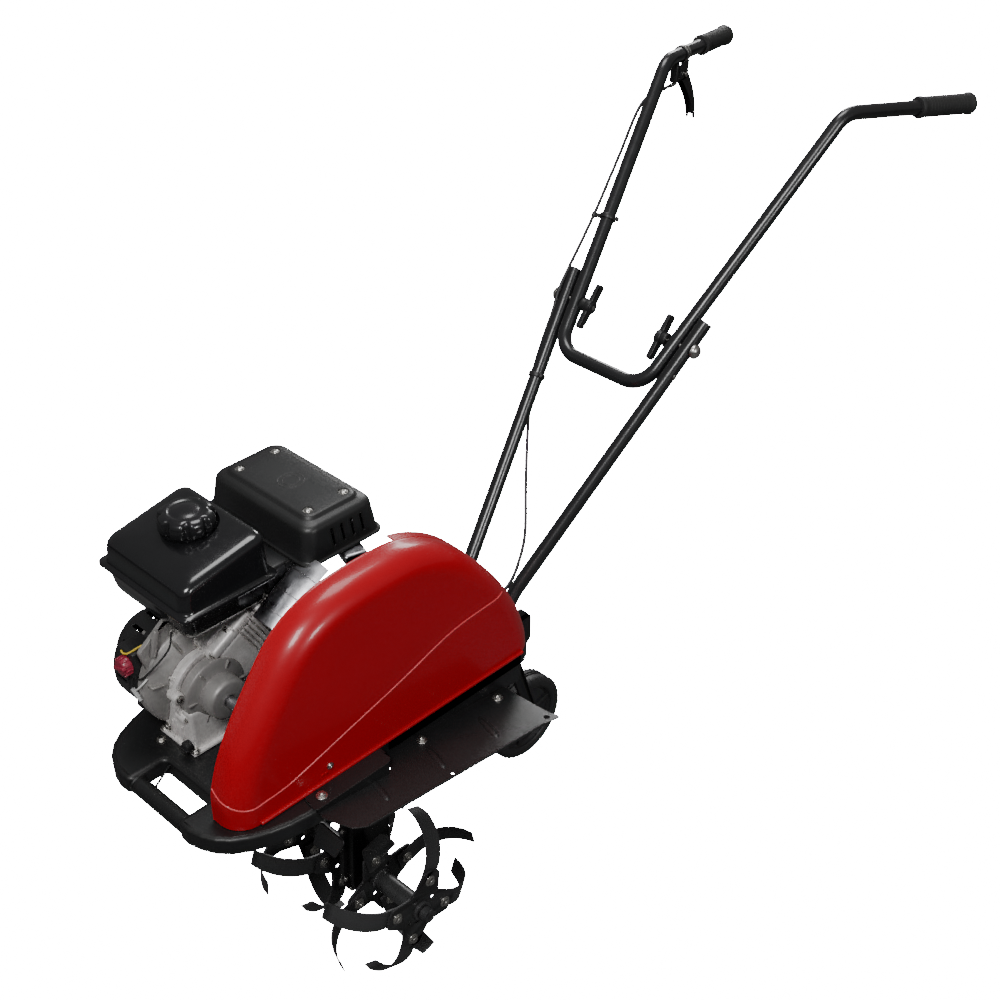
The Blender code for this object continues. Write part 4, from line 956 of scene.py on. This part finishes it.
barrel_ribs = [block((-84, 52, -1.6), (-67, 60, 1.6), Matrix.Translation(centre)
                     @ Matrix.Rotation(math.radians(a), 4, "X"))
               for a in range(150, 290, 28)]
lug_angles = (40, 82, 168, 214, 262, 336)
lugs = []
for a in lug_angles:
    lugs.append(turn([(0, 0), (8.5, 0), (9.2, -2), (9.2, -20), (7, -24), (0, -24)], on_face(-48, 61, a), (1,
            0, 0), 28))
sump = pillow((-112, 96, DECK + 0.4), (-34, 198, 100), 7, 4)
foot = pillow((-119, 90, DECK + 0.4), (-27, 205, DECK + 7), 2.4, 3)
sump_ribs = [block((x - 1.5, 92.5, DECK + 3), (x + 1.5, 100, 62)) for x in (-100, -84, -60)]
tilt = Matrix.Translation(centre) @ Matrix.Rotation(math.radians(-60), 4, "X")
barrel = moved(pillow((-113, -43, 40), (-40, 43, 128), 8, 4), tilt)
fins = [moved(pillow((-150, -52, 88 + 8 * k), (-34, 52, 90.4 + 8 * k), 0.9, 2), tilt) for k in range(5)]
gusset = side_slab(rounded([(158, 152), (222, 158), (208, 182), (199, 199), (189, 199), (178, 182)], 5, 5,
                           True),
                   -56, -50, [circle(193, 176, 4.4, 20)[::-1]])
gusset_foot = turn([(0, 0), (7.5, 0), (7.5, 12), (0, 12)], (-52, 194, 189), (0, 0, 1), 28)
tower = [moved(pillow((-112, -56, 34), (-40, -38, 122), 6, 4), tilt),
         moved(pillow((-100, -60, 50), (-96, -50, 116), 1.6, 3), tilt),
         moved(pillow((-64, -60, 44), (-60, -50, 116), 1.6, 3), tilt),
         moved(pillow((-112, -60, 82), (-40, -50, 86), 1.6, 3), tilt)]
bell_metal = finish_of("grey_bell_casting", (0.3, 0.29, 0.28), 0.45, metallic=0.4, grain=520, span=0.08,
                       bump=0.00018,
                       tone=0.2, blot=22)
piece("bell_casting", "frame", "cast_metal", bell_metal, bell, bell_ribs, air_guide, bevel=0.8, angle=40)
piece("crankcase_casting", "frame", "cast_metal", cast, casing, barrel_ribs, lugs, sump, foot, sump_ribs,
      barrel, fins,
      gusset, gusset_foot, tower, bevel=0.9, angle=40, stands_for=("crankcase",))
side_cover = turn([(0, -31), (34, -31), (36, -32), (44, -36), (52, -37), (55, -40), (55.5, -57), (0, -57)],
                  centre,
                  (1, 0, 0), 80)
nose = turn([(10.4, -3), (30, -3), (33, -5), (35, -10), (35.5, -33), (10.4, -33)], centre, (1, 0, 0), 64)
cover_ribs = [block((-39, 34, -1.4), (-33, 53, 1.4), Matrix.Translation(centre)
                    @ Matrix.Rotation(math.radians(a), 4, "X"))
              for a in range(0, 360, 60)]
piece("crankcase_side_cover", "frame", "cast_metal", dark_cast, side_cover, nose, cover_ribs, bevel=0.8,
      angle=40)
# a black strip at the bottom of the cooling slot: painted shade for the dark inside of the slot
shade = sweep([on_face(-110, 82.6, a) for a in range(197, 240, 6)], [(-3.4, -0.8), (3.4, -0.8), (3.4, 0.8),
        (-3.4, 0.8)],
              up=[on_face(0, 1, a) - Vector(centre) for a in range(197, 240, 6)])
piece("cooling_slot_shade", "frame", "satin_plastic", satin, shade, bevel=0)
engine_bolts = [bolt(on_face(-47.8, 61, a), (1, 0, 0), 5.0, washer=1.3) for a in lug_angles]
engine_bolts += [bolt((-52, 194, 201), (0, 0, 1), 6.0), bolt((-92, 90.6, 46), (0, -1, 0), 5.0)]
engine_bolts += [bolt((x, y, DECK + 6.8), (0, 0, 1), 5.2) for x in (-112, -33) for y in (96, 198)]
piece("engine_bolts", "frame", "bright_steel", zinc, engine_bolts, bevel=0.25)

head = moved(pillow((-148, -50, 128.4), (-36, 50, 142), 5, 3), tilt)
head_fins = [moved(pillow((-148, -50, 145 + 6 * k), (-36, 50, 147 + 6 * k), 0.8, 2),
                   tilt) for k in range(3)]
head_core = moved(pillow((-140, -42, 138), (-44, 42, 168), 6, 3), tilt)
valve_lid = moved(pillow((-128, -34, 164), (-56, 34, 172), 5, 3), tilt)
plug_body = moved(turn([(0, 150), (7, 150), (9, 156), (9, 166), (6, 168), (0, 168)], (-92, 0, 6), (0, 0, 1),
                       24), tilt)
piece("cylinder_head_casting", "frame", "cast_metal", cast, head, head_fins, head_core, valve_lid,
      plug_body, bevel=0.5,
      angle=40, stands_for=("cylinder_head",))
cap_at = tilt @ Vector((-92, 0, 182))
boot = moved(turn([(0, 0), (8.6, 0), (9, 3), (9, 10), (7, 13), (0, 13)], (-92, 0, 170), (0, 0, 1), 24),
             tilt)
lead = tube(smooth([tuple(cap_at), (-96, 322, 204), (-112, 318, 186), (-128, 288, 168), (-134, 250, 162),
                    (-130, 222, 158)], 6), 3.4, 16)
piece("spark_plug_boot_and_lead", "frame", "rubber", rubber, boot, lead, bevel=0)

# recoil starter housing over the flywheel fan
drum = turn([(0, 108), (40, 108), (50, 106.5), (57, 103), (61, 97), (63, 90), (64, 79), (66, 77.5), (78,
        75.5), (82.5, 73),
             (85, 68), (85, 6), (87, 4), (87, 0), (82, 0), (82, 65), (78, 71), (61, 75), (59, 92), (53,
                     101), (42, 104.5),
             (0, 105)], (BLOWER_X - 0.35, CRANK_Y, CRANK_Z), (-1, 0, 0), 96)
vents = []
for k in range(14):
    a = TURN * k / 14
    vents.append(block((-200, 50, -3), (-216, 70, 3), Matrix.Translation(centre) @ Matrix.Rotation(a, 4,
            "X")))
for k in range(10):
    a = TURN * (k + 0.5) / 10
    vents.append(block((-232, 16, -2.4), (-212, 38, 2.4), Matrix.Translation(centre) @ Matrix.Rotation(a, 4,
            "X")))
for k in range(18):
    a = TURN * k / 18
    if not 0.0 < math.degrees(a) % 360 < 50:
        vents.append(block((-180, 76, -3), (-150, 92, 3), Matrix.Translation(centre) @ Matrix.Rotation(a, 4,
                "X")))
drum = carve(drum, *vents)
switch_box = pillow((-160, 62, 140), (BLOWER_X - 0.35, 104, 188), 3.5, 4)
guide = turn([(4.5, 0), (9, 0), (10, 3), (10, 9), (4.5, 9)], (-211, 207, CRANK_Z), (0, 1, 0), 32)
ears = [turn([(0, 0), (8, 0), (8, 10), (0, 10)], on_face(-119, 84, a), (-1, 0, 0), 24) for a in (20, 95,
        200, 275)]
piece("recoil_housing", "frame", "satin_plastic", satin, drum, switch_box, guide, ears, bevel=0.6, angle=40,
      stands_for=("recoil_cover",))
flywheel = turn([(0, 40), (60, 40), (60, 46), (76, 46), (76, 8), (0, 8)], (BLOWER_X - 0.35, CRANK_Y,
        CRANK_Z), (-1, 0, 0), 64)
piece("flywheel_fan", "frame", "cast_metal", dark_cast, flywheel, bevel=0.6)
piece("recoil_screws", "frame", "bright_steel", zinc,
      [bolt(on_face(-129, 84, a), (-1, 0, 0), 4.6, washer=1.3) for a in (20, 95, 200, 275)], bevel=0.2)

PULL = Vector((-211, CRANK_Y + 64.8, CRANK_Z))
handle = turn([(0, 16), (5, 16), (7.6, 14.4), (9.6, 10), (11, 3), (11, -3), (9.6, -10), (7.6, -14.4), (5,
        -16), (0, -16)],
              PULL + Vector((0, 20, 0)), (1, 0, 0), 32)
neck = turn([(0, 0), (4.2, 0), (4.6, 2), (4.2, 8), (6.5, 14), (0, 16)], PULL, (0, 1, 0), 24)
grip_rings = [turn([(r, h - 0.8), (r + 0.9, h), (r, h + 0.8)], PULL + Vector((0, 20, 0)), (1, 0, 0), 32)
              for h, r in ((-9, 9.7), (-5, 10.5), (0, 10.9), (5, 10.5), (9, 9.7))]
piece("starter_pull_grip", "starter_handle", "satin_plastic", satin, handle, neck, grip_rings, bevel=0.3,
      stands_for=("starter_grip",))
rope_braid = finish_of("braided_starter_rope", (0.05, 0.05, 0.052), 0.8, grain=900, bump=0.0003, tone=0.5, blot=800)
rope_line = [(PULL.x, 104 + 2 * k, PULL.z) for k in range(61)]
rope = piece("starter_rope", None, "rubber", rope_braid, tube(rope_line, 2.2, 12), bevel=0)

OIL = Vector((-44, 96, 33))
plug = turn([(0, 14), (5, 14), (8, 13.4), (10, 11.6), (10.4, 9), (10, 3), (9, 0.4), (7, 0.4), (7, -9), (0,
        -9)], OIL,
            (0, -1, 0), 32)
wings = [moved(pillow((-10.2, -1.8, 9), (10.2, 1.8, 16), 1.3, 3), facing(OIL, (0, -1, 0)))]
wings += [moved(block((8.8, -0.8, 1.2), (11, 0.8, 10)), facing(OIL, (0, -1,
        0)) @ Matrix.Rotation(TURN * k / 16, 4, "Z"))
          for k in range(16)]
piece("oil_dipstick_plug", "oil_filler", "satin_plastic", satin, plug, wings, bevel=0.2,
      stands_for=("oil_plug",))

knob = turn([(0, 15), (9, 15.5), (12.5, 14.6), (14.6, 12), (15.4, 5), (15.4, 0.5), (0, 0.5)], SWITCH, (0,
        -1, 0), 48)
knob_ribs = [moved(pillow((13.6, -1.3, 0.8), (16.9, 1.3, 13.5), 0.8, 2),
                   facing(SWITCH, (0, -1, 0)) @ Matrix.Rotation(TURN * k / 12, 4, "Z")) for k in range(12)]
pointer = moved(pillow((-15.5, -3.2, 11), (15.5, 3.2, 18.6), 1.8, 3), facing(SWITCH,
        (0, -1, 0)) @ Matrix.Rotation(0.35, 4, "Z"))
piece("ignition_switch_knob", "ignition_knob", "knob_red", knob_red, knob, knob_ribs, pointer, bevel=0.2,
      stands_for=("switch_knob",))
piece("switch_wire_yellow", "frame", "satin_plastic", yellow_wire, tube(smooth(
    [(-150, 74, 178), (-147, 62, 183), (-138, 60, 183), (-129, 64, 187), (-121, 80, 195), (-112, 100, 200)],
    6), 1.5, 12),
      bevel=0)
piece("switch_wire_black", "frame", "rubber", rubber, tube(smooth(
    [(-138, 66, 142), (-140, 62, 130), (-137, 58, 120), (-134, 60, 112)], 6), 1.4, 12),
      tube(smooth([(-120, 66, 140), (-104, 64, 150), (-92, 78, 168), (-82, 96, 190), (-76, 104, 208), (-74,
              108, 232)], 6), 1.5, 12),
      tube(smooth([(-128, 66, 142), (-129, 60, 130), (-124, 58, 116), (-116, 60, 104)], 6), 1.1, 10),
      bevel=0)
piece("switch_wire_white", "frame", "satin_plastic", white_wire, tube(smooth(
    [(-134, 60, 113), (-124, 58, 118), (-112, 58, 128), (-102, 60, 140), (-98, 70, 150)], 6), 1.5, 12),
    bevel=0)
plug_way = Vector((0.85, 0.0, -0.55)).normalized()
piece("wire_connector", "frame", "satin_plastic", clear,
      moved(pillow((-3.2, -2.4, 0), (3.2, 2.4, 17), 1.0, 3), facing((-124, 57, 124), plug_way)),
      moved(pillow((-2.4, -1.8, 16), (2.4, 1.8, 24), 0.8, 3), facing((-124, 57, 124), plug_way)), bevel=0)

# fuel tank and cap
tank = loft([rect(TANK_X, TANK_Y, hx, hy, c, z, 9, rise) for hx, hy, c, z, rise in (
    (60, 40, 16, 228, 0), (78, 56, 18, 228.6, 0), (88, 65, 19, 230.6, 0), (95, 72, 19, 235, 0), (99, 76, 19,
            243, 0),
    (101.5, 78.5, 18.5, 256, 0), (103.5, 80.5, 18, 277, 0), (105.5, 82.5, 18, 279.4, 0), (113.2, 88.7, 14,
            279.6, 0),
    (114, 89.5, 14, 280.8, 0), (114, 89.5, 14, 285, 0), (113, 88.5, 14, 286.2, 0), (106.6, 83.6, 18, 286.6,
            0),
    (105.4, 82.4, 18, 288.4, 0.01), (104.4, 81.6, 18, 300, 0.07), (103.4, 80.8, 18, 315, 0.13),
    (102.6, 80, 18, 329, 0.18), (101.4, 78.8, 18, 335.4, 0.19), (98.6, 76, 18, 340, 0.19), (94, 71.6, 18,
            343, 0.19),
    (86, 64, 17, 345, 0.185), (70, 50, 16, 347, 0.175), (48, 34, 13, 348.6, 0.17))])
CAP = Vector((TANK_X - 7, TANK_Y + 14, 0))
tank = carve(tank, turn([(0, 349.6), (47, 349.6), (49, 352), (50.5, 400), (0, 400)], CAP, (0, 0, 1), 72))
collar = turn([(20, 330), (40, 345), (44, 350.6), (30, 351), (26, 351.4), (26, 352), (20, 352)], CAP, (0, 0,
        1), 64)
piece("fuel_tank_shell", "frame", "gloss_black", gloss, tank, collar, bevel=0, angle=55,
      stands_for=("fuel_tank",))


def cap_ring(radius, z, depth, n=144):
    ring = []
    for i in range(n):
        a = TURN * i / n
        wave = max(0.0, math.cos(8 * a - math.radians(80)))
        r = radius - depth * wave ** 1.4
        ring.append((CAP.x + r * math.cos(a), CAP.y + r * math.sin(a), z))
    return ring


lid = loft([cap_ring(r, z, d) for r, z, d in ((30, 352.4, 0), (43.6, 352.4, 5), (45, 354, 6), (45, 364,
        6.4),
                                               (44.6, 370, 6.4), (43, 374.5, 6), (39.6, 377.6, 4.4), (34,
                                                       379.4, 2),
                                               (30, 379.8, 0.4), (27.5, 379.2, 0), (25.5, 378.2, 0), (23,
                                                       378.0, 0), (20, 379.4, 0),
                                               (10, 381.0, 0), (3, 381.4, 0))])
piece("fuel_cap_moulding", "tank_cap", "gloss_black",
      finish_of("cap_plastic", (0.01, 0.01, 0.011), 0.24, coat=0.3, grain=60, span=0.03, bump=0.00003), lid,
      bevel=0, angle=55, stands_for=("fuel_cap",))

shroud = pillow((-112, 262, 236), (-36, 322, 282), 5, 3)
shroud_foot = block((-60, 300, 240), (-34, 330, 281))
piece("cylinder_shroud", "frame", "black_paint", powder, shroud, shroud_foot, bevel=0.8)

# muffler cover with its louvres, the muffler under it and the heat shield
guard = loft([rect(MUF_X, MUF_Y, hx, hy, c, z, 9) for hx, hy, c, z in (
    (129, 79, 20, 281), (130, 80, 20, 281.8), (130, 80, 20, 284), (129.4, 79.4, 20, 285), (126.6, 76.6, 20,
            285.6),
    (125.4, 75.4, 20, 287.4), (123, 72.6, 21, 310), (120.6, 69.6, 22, 334), (119.4, 68.2, 22, 338), (116.6,
            65.4, 21.5, 341.6),
    (112, 61, 20, 343.8), (106, 55.4, 18, 345), (104.2, 53.6, 17, 346), (102.4, 51.8, 16.5, 349.4), (100.6,
            50.2, 16, 350.8),
    (96, 46, 15, 351.6), (60, 24, 9, 352.4), (30, 10, 4, 352.6))])
hollow = loft([rect(MUF_X, MUF_Y, hx, hy, c, z, 9) for hx, hy, c, z in (
    (122.5, 72.5, 18, 270), (122.5, 72.5, 18, 288), (117.4, 66.4, 20, 334), (108, 57, 18, 340), (98, 48, 14,
            346),
    (90, 42, 12, 348))])
louvres = [moved(pillow((-14, -2.4, -16), (24, 2.4, 16), 2.2, 3),
                 Matrix.Translation((0, 368.5 + 19.5 * k, 312))
                 @ Matrix.Rotation(math.radians(6), 4, "X")) for k in range(4)]
sockets = [turn([(0, 0), (8.5, 0), (8.5, 10), (0, 10)], (MUF_X + sx * 84, MUF_Y + sy * 36, 350), (0, 0, 1),
                32)
           for sx in (1, -1) for sy in (1, -1)]
guard = carve(guard, hollow, *louvres, *sockets)
base = block((-243, 318, 283.2), (-1, 460, 284.4))
piece("muffler_guard_shell", "frame", "satin_plastic", satin, guard, base, bevel=0.5, angle=50,
      stands_for=("muffler_cover",))
emblem = [turn([(r - 1.2, 0), (r - 0.4, 0.7), (r + 0.4, 0.7), (r + 1.2, 0)], (MUF_X + 2, MUF_Y - 2, 352.2),
               (0, 0, 1), 64)
          for r in (21, 13.5)]
piece("muffler_guard_ring", "frame", "satin_plastic", satin, emblem, bevel=0, angle=60)
guard_screws = [pan_screw((MUF_X + sx * 84, MUF_Y + sy * 36, 350), (0, 0, 1), 5.6) for sx in (1,
        -1) for sy in (1, -1)]
piece("muffler_guard_screws", "frame", "bright_steel", zinc, guard_screws, bevel=0)
can = pillow((-118, 330, 287), (-11, 449, 337), 13, 5)
seam = pillow((-120, 328, 308), (-9, 451, 311), 1.2, 2)
pipe = tube(rounded([(-70, 372, 300), (-70, 372, 262), (-70, 352, 237)], 22, 8), 11, 28)
collars = [turn([(11, 0), (15, 0), (15, 5), (11, 5)], (-70, 371, 283), (0, 0, 1), 32)]
piece("muffler_body", "frame", "bright_steel", steel, can, seam, pipe, collars, bevel=0.5,
      stands_for=("muffler",))
spout = moved(carve(pillow((-24, -20, -9), (24, 20, 9), 6, 4), pillow((-18, -17, -6.5), (40, 17, 6.5), 4.5,
        4)),
              Matrix.Translation((2, 400, 270)) @ Matrix.Rotation(math.radians(-18), 4, "Z"))
piece("exhaust_outlet", "frame", "bright_steel", steel, spout, bevel=0.4)
shield_path = smooth([(334, 281), (304, 266), (266, 244), (228, 218)], 8)
arch = [(31 - 62 * i / 16, 11 * (1 - ((i - 8) / 8) ** 2)) for i in range(17)]
arch_section = arch + [(a * 0.97, b - 1.6) for a, b in arch[::-1]]
rise = []
for i in range(len(shield_path)):
    run = Vector(shield_path[min(i + 1, len(shield_path) - 1)]) - Vector(shield_path[max(i - 1, 0)])
    rise.append(Vector((0, run.y, -run.x)).normalized())
skin = sweep([(-3, y, z) for y, z in shield_path], arch_section, up=rise)
seams = []
for i in (7, 14, 20):
    y, z = shield_path[i]
    up_way = rise[i]
    seams.append(sweep([Vector((-3 + a, y, z)) + up_way * (b + 0.2) for a, b in arch], disc(8, 0.9)))
piece("heat_shield_sheet", "frame", "bright_steel", steel, skin, seams, bevel=0.4,
      stands_for=("heat_shield",))

lid_box = pillow((-226, 325, 190), (-166, 440, 276), 9, 4)
band = pillow((-196, 323, 188), (-191, 442, 278), 2, 3)
knob_post = turn([(0, 0), (12, 0), (12, 3), (9, 8), (5, 9.6), (0, 9.6)], (-226, 382, 233), (-1, 0, 0), 32)
lid_lines = [pillow((-229, 345 + 15 * k, 205), (-225, 349 + 15 * k, 262), 1.4,
                    2) for k in range(6) if k not in (2, 3)]
intake = cyl((-170, 352, 215), (-157, 352, 215), 13, n=40)
piece("air_cleaner_box", "frame", "satin_plastic", satin, lid_box, band, knob_post, lid_lines, intake,
      bevel=0.4,
      stands_for=("air_cleaner",))


# ---- handlebar ----
def lower_point(y):
    return (max(140.0 + 0.25 * (y - FOLD_Y), LOWER_X), y, FOLD_Z + 1.142 * (y - FOLD_Y))


def upper_point(y):
    return (112.5 + 0.25 * (y - FOLD_Y), y, FOLD_Z + 1.084 * (y - FOLD_Y))


path = rounded([lower_point(655), lower_point(715), lower_point(1080)], 60, 10)
lower = tube(path, TUBE_R, 40)
spot = Vector(lower_point(1010))
hole_ring = both(turn([(2.6, 0), (4.6, 0), (4.6, 1.4), (2.6, 1.4)], spot + Vector((12.2, 0, 0)), (1, 0, 0),
                      24))
piece("lower_tube_left_enamelled", "frame", "black_paint", tube_paint, lower, bevel=1.2,
      stands_for=("lower_tube_left",))
piece("lower_tube_right_enamelled", "frame", "black_paint", tube_paint,
      tube([(-p[0], p[1], p[2]) for p in path], TUBE_R, 40),
      bevel=1.2, stands_for=("lower_tube_right",))
piece("tube_hole_bushes", "frame", "bright_steel", zinc, hole_ring, bevel=0.2)

bend_top, grip_end = Vector((193, 1364, 772)), Vector((270, 1637, 738))
leg = [tuple(grip_end), tuple(bend_top), upper_point(983)]
bar_path = rounded(leg + [(-x, y, z) for x, y, z in reversed(leg)], 48, 14)
piece("handlebar_tube", "handlebar", "black_paint", tube_paint, tube(bar_path, TUBE_R, 40), bevel=0.8,
      stands_for=("upper_handlebar",))
grip_axis = (grip_end - bend_top).normalized()
grip_tip = grip_end + grip_axis * 4
for side, mirror in (("left", Matrix()), ("right", MIRROR)):
    rings = [turn([(17.8, h - 1.4), (18.2, h - 0.6), (18.2, h + 0.6), (17.8, h + 1.4)], grip_tip, grip_axis,
                  48)
             for h in range(-108, -22, 7)]
    sleeve = turn([(0, 0), (14, 0), (18.6, -1.6), (20.0, -5), (20.0, -8), (18.9, -11), (18.2, -15), (17.8,
            -24),
                   (17.8, -112), (18.0, -117), (19.4, -120), (19.6, -124), (18.0, -127.5), (13.0, -128),
                   (13.0, -4),
                   (0, -4)], grip_tip, grip_axis, 64)
    piece(f"grip_{side}_sleeve", "handlebar", "rubber", rubber, moved(sleeve, mirror),
          [moved(r, mirror) for r in rings],
          bevel=0, angle=50, stands_for=(f"grip_{side}",))
    head_at = Vector((135 + 21, FOLD_Y, FOLD_Z))
    shank = turn([(0, 9.6), (4, 9.3), (8.4, 7.7), (11.8, 4.4), (13, 1.4), (13, 0.2), (6, 0), (4, 0), (4,
            -83), (0, -83)],
                 head_at - Vector((0.4, 0, 0)), (1, 0, 0), 40)
    plate = turn([(4.2, -1.6), (12.5, -1.6), (12.8, -0.9), (12.5, 0), (4.2, 0)],
                 head_at - Vector((0.4, 0, 0)), (1, 0, 0), 40)
    piece(f"fold_bolt_{side}", "frame", "bright_steel", zinc, moved(shank, mirror), moved(plate, mirror),
          bevel=0.2,
          stands_for=(f"clamp_bolt_{side}",))
    KNOB_X = 98.0
    boss = turn([(4.4, 0), (11, 0), (12.5, -2), (12.5, -6), (11.5, -10), (11, -21), (9, -24), (4.4, -25)],
                (KNOB_X, FOLD_Y, FOLD_Z), (1, 0, 0), 48)
    lobe = rounded([(-42, -7.5), (-14, -8.5), (14, -8.5), (42, -7.5), (43, 0), (42, 7.5), (14, 8.5), (-14,
            8.5), (-43, 7.5)],
                   5, 5, True)
    wing = slab(lobe, -4.6, 4.6)
    moved(wing, Matrix.Translation((KNOB_X - 17, FOLD_Y, FOLD_Z)) @ Matrix.Rotation(math.radians(48), 4,
            "X") @ ON_SIDE)
    barrel_hub = turn([(0, -6), (13, -6), (13.4, -4), (13.4, 4), (13, 6), (0, 6)], (KNOB_X - 17, FOLD_Y,
            FOLD_Z), (1, 0, 0), 40)
    piece(f"wing_knob_{side}_moulding", f"knob_{side}", "satin_plastic", satin, moved(boss, mirror),
          moved(wing, mirror),
          moved(barrel_hub, mirror), bevel=1.2, segments=3, stands_for=(f"wing_knob_{side}",))

# clutch lever on the right grip, seen in the clamp's own axes
right_axis = Vector((-grip_axis.x, grip_axis.y, grip_axis.z))
clamp_at = Vector((-bend_top.x, bend_top.y, bend_top.z)) + right_axis * 74
down = Vector((0, 0, -1))
down = (down - right_axis * down.dot(right_axis)).normalized()
basis = Matrix((right_axis, right_axis.cross(down), down)).transposed().to_4x4()
at_clamp = Matrix.Translation(clamp_at) @ basis
bands = [moved(turn([(12.9, h + 2.6), (15.2, h + 2.6), (15.6, h + 1.8), (15.6, h - 1.8), (15.2, h - 2.6),
                     (12.9, h - 2.6)],
                    (0, 0, 0), (1, 0, 0), 48), at_clamp) for h in (-5, 4)]
piece("lever_clamp_bands", "handlebar", "bright_steel", zinc, bands, bevel=0)
cheek_shape = rounded([(-26, 12), (12, 12), (13, 20), (11.4, 24), (13.4, 27), (11.4, 30), (13.4, 33), (11.4,
        36), (12, 42), (8, 47),
                       (-8, 47), (-24, 44)], 1.6, 4, True)
FLAT = Matrix(((1, 0, 0, 0), (0, 0, -1, 0), (0, 1, 0, 0), (0, 0, 0, 1)))
cheeks = [slab(cheek_shape, a, b, (), at_clamp @ FLAT) for a, b in ((-10.6, -8.2), (8.2, 10.6))]
saddle = moved(turn([(13.0, 10), (14.6, 10), (14.6, -10), (13.0, -10)], (0, 0, 0), (1, 0, 0), 48), at_clamp)
perch = moved(pillow((-34, -8, 13), (-23, 8, 49), 3.4, 4), at_clamp)
piece("lever_mount", "handlebar", "satin_plastic", satin, cheeks, saddle, perch,
      moved(pillow((-13, -9.6, 12.8), (12, 9.6, 15.4), 1.0), at_clamp), bevel=0.5,
      stands_for=("lever_bracket",))
piece("lever_pivot_pin", "handlebar", "bright_steel", zinc,
      moved(turn([(0, 14.2), (4, 14), (5.4, 12.8), (5.4, 11), (3, 10.8), (3, -10.8), (5.4, -11), (5.4,
              -12.8), (4, -14),
                  (0, -14.2)], (0, 0, 36), (0, 1, 0), 28), at_clamp), bevel=0)
lever_shape = smooth([(-6, -11), (10, -11), (16, -3), (30, 13), (54, 39), (70, 65), (80, 93), (78, 99), (70,
        96),
                      (60, 74), (43, 52), (21, 32), (4, 17), (-8, 10), (-17, 3), (-21, -6), (-15, -11)], 4,
                      True)
lift = at_clamp @ Matrix.Translation((0, 0, 36)) @ FLAT
lever_skin = slab(lever_shape[::-1], 5.6, 7.6, (), lift), slab(lever_shape[::-1], -7.6, -5.6, (), lift)
lever_back = sweep([lift @ Vector((x, y, 0)) for x, y in smooth([(12, -9), (18, -2), (31, 12), (55, 38),
        (71, 64), (80, 92)], 5)],
                   [(-7.4, -1.1), (7.4, -1.1), (7.4, 1.1), (-7.4, 1.1)],
                   up=(at_clamp.to_3x3() @ Vector((1, 0, -0.6))))
piece("clutch_lever_pressing", "clutch_handle", "satin_plastic", satin, list(lever_skin), lever_back,
      bevel=0.7, segments=3,
      stands_for=("clutch_lever",))
nipple = moved(turn([(0, 6.8), (4.6, 6.6), (5.2, 5.6), (5.2, -5.6), (4.6, -6.6), (0, -6.8)], (-12, 0, 40),
                    (0, 1, 0), 28), at_clamp)
piece("cable_nipple", "clutch_handle", "bright_steel", zinc, nipple, bevel=0)

cable_start = at_clamp @ Vector((-17, 0, 52))
route = [tuple(cable_start), (-206, 1382, 712), (-203, 1311, 702), (-183, 1227, 627), (-170, 1160, 558),
         (-161, 1109, 510),
         (-150, 1042, 448), (-144, 1016, 408), (-140, 988, 366), (-133, 958, 318), (-116, 930, 268), (-95,
                 902, 216),
         (-60, 862, 146), (-14, 812, 84), (18, 758, 56), (33, 722, 47), (43, 696, 53), (54, 674, 80), (64,
                 640, 126),
         (78, 560, 190), (88, 455, 262)]
line = smooth(route, 10)
length = 0.0
for a, b in zip(line, line[1:]):
    length += (b - a).length
count = int(length / 2.4)
even, walked, index = [line[0]], 0.0, 0
for k in range(1, count):
    goal = length * k / count
    while walked + (line[index + 1] - line[index]).length < goal:
        walked += (line[index + 1] - line[index]).length
        index += 1
    even.append(line[index].lerp(line[index + 1], (goal - walked) / (line[index + 1] - line[index]).length))
cable = piece("clutch_cable_outer", None, "satin_plastic",
              finish_of("ribbed_cable_jacket", (0.02, 0.02, 0.021), 0.45, grain=900, bump=0.0001), sweep(
                  even, disc(12, 3.2), scale=lambda t: 1 + 0.02 * math.sin(TURN * t * count / 4)), bevel=0,
                  angle=60,
              stands_for=("clutch_cable",))
ferrule = turn([(0, 0), (2.4, 0), (3.8, 2), (3.8, 16), (3.0, 19), (0, 19)], cable_start,
               Vector(route[1]) - cable_start, 24)
inner = tube([tuple(at_clamp @ Vector((-12, 0, 40))), tuple(cable_start)], 0.9, 10)
piece("cable_ferrule", "handlebar", "bright_steel", zinc, ferrule, inner, bevel=0)
for name, body, y, tube_point in (("upper", "handlebar", 1154, upper_point),
                                  ("lower", "frame", 946, lower_point)):
    tube_at = Vector(tube_point(y))
    tube_at.x = -tube_at.x
    run = (Vector(tube_point(y + 10)) - Vector(tube_point(y))).normalized()
    run.x = -run.x
    near = min(even, key=lambda p: (p - tube_at).length)
    out_way = (near - tube_at) - run * (near - tube_at).dot(run)
    reach = out_way.length
    out_way.normalize()
    strap = turn([(12.9, 4), (15, 4), (15.4, 3.2), (15.4, -3.2), (15, -4), (12.9, -4)], tube_at, run, 40)
    loop = turn([(2.9, 4), (4.6, 4), (5, 3.2), (5, -3.2), (4.6, -4), (2.9, -4)], tube_at + out_way * reach,
                run, 28)
    frame_way = Matrix((out_way, run.cross(out_way), run)).transposed().to_4x4()
    ears = moved(pillow((-22, -3, -4), (-14, 3, 4), 1.2, 3), Matrix.Translation(tube_at) @ frame_way)
    ear_b = moved(pillow((13, -3.2, -4), (max(reach - 3, 16), 3.2, 4), 1.2, 3),
                  Matrix.Translation(tube_at) @ frame_way)
    piece(f"cable_clip_{name}", body, "satin_plastic", satin, strap, loop, ears, ear_b, bevel=0, angle=50)


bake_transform(cable)
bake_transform(rope)
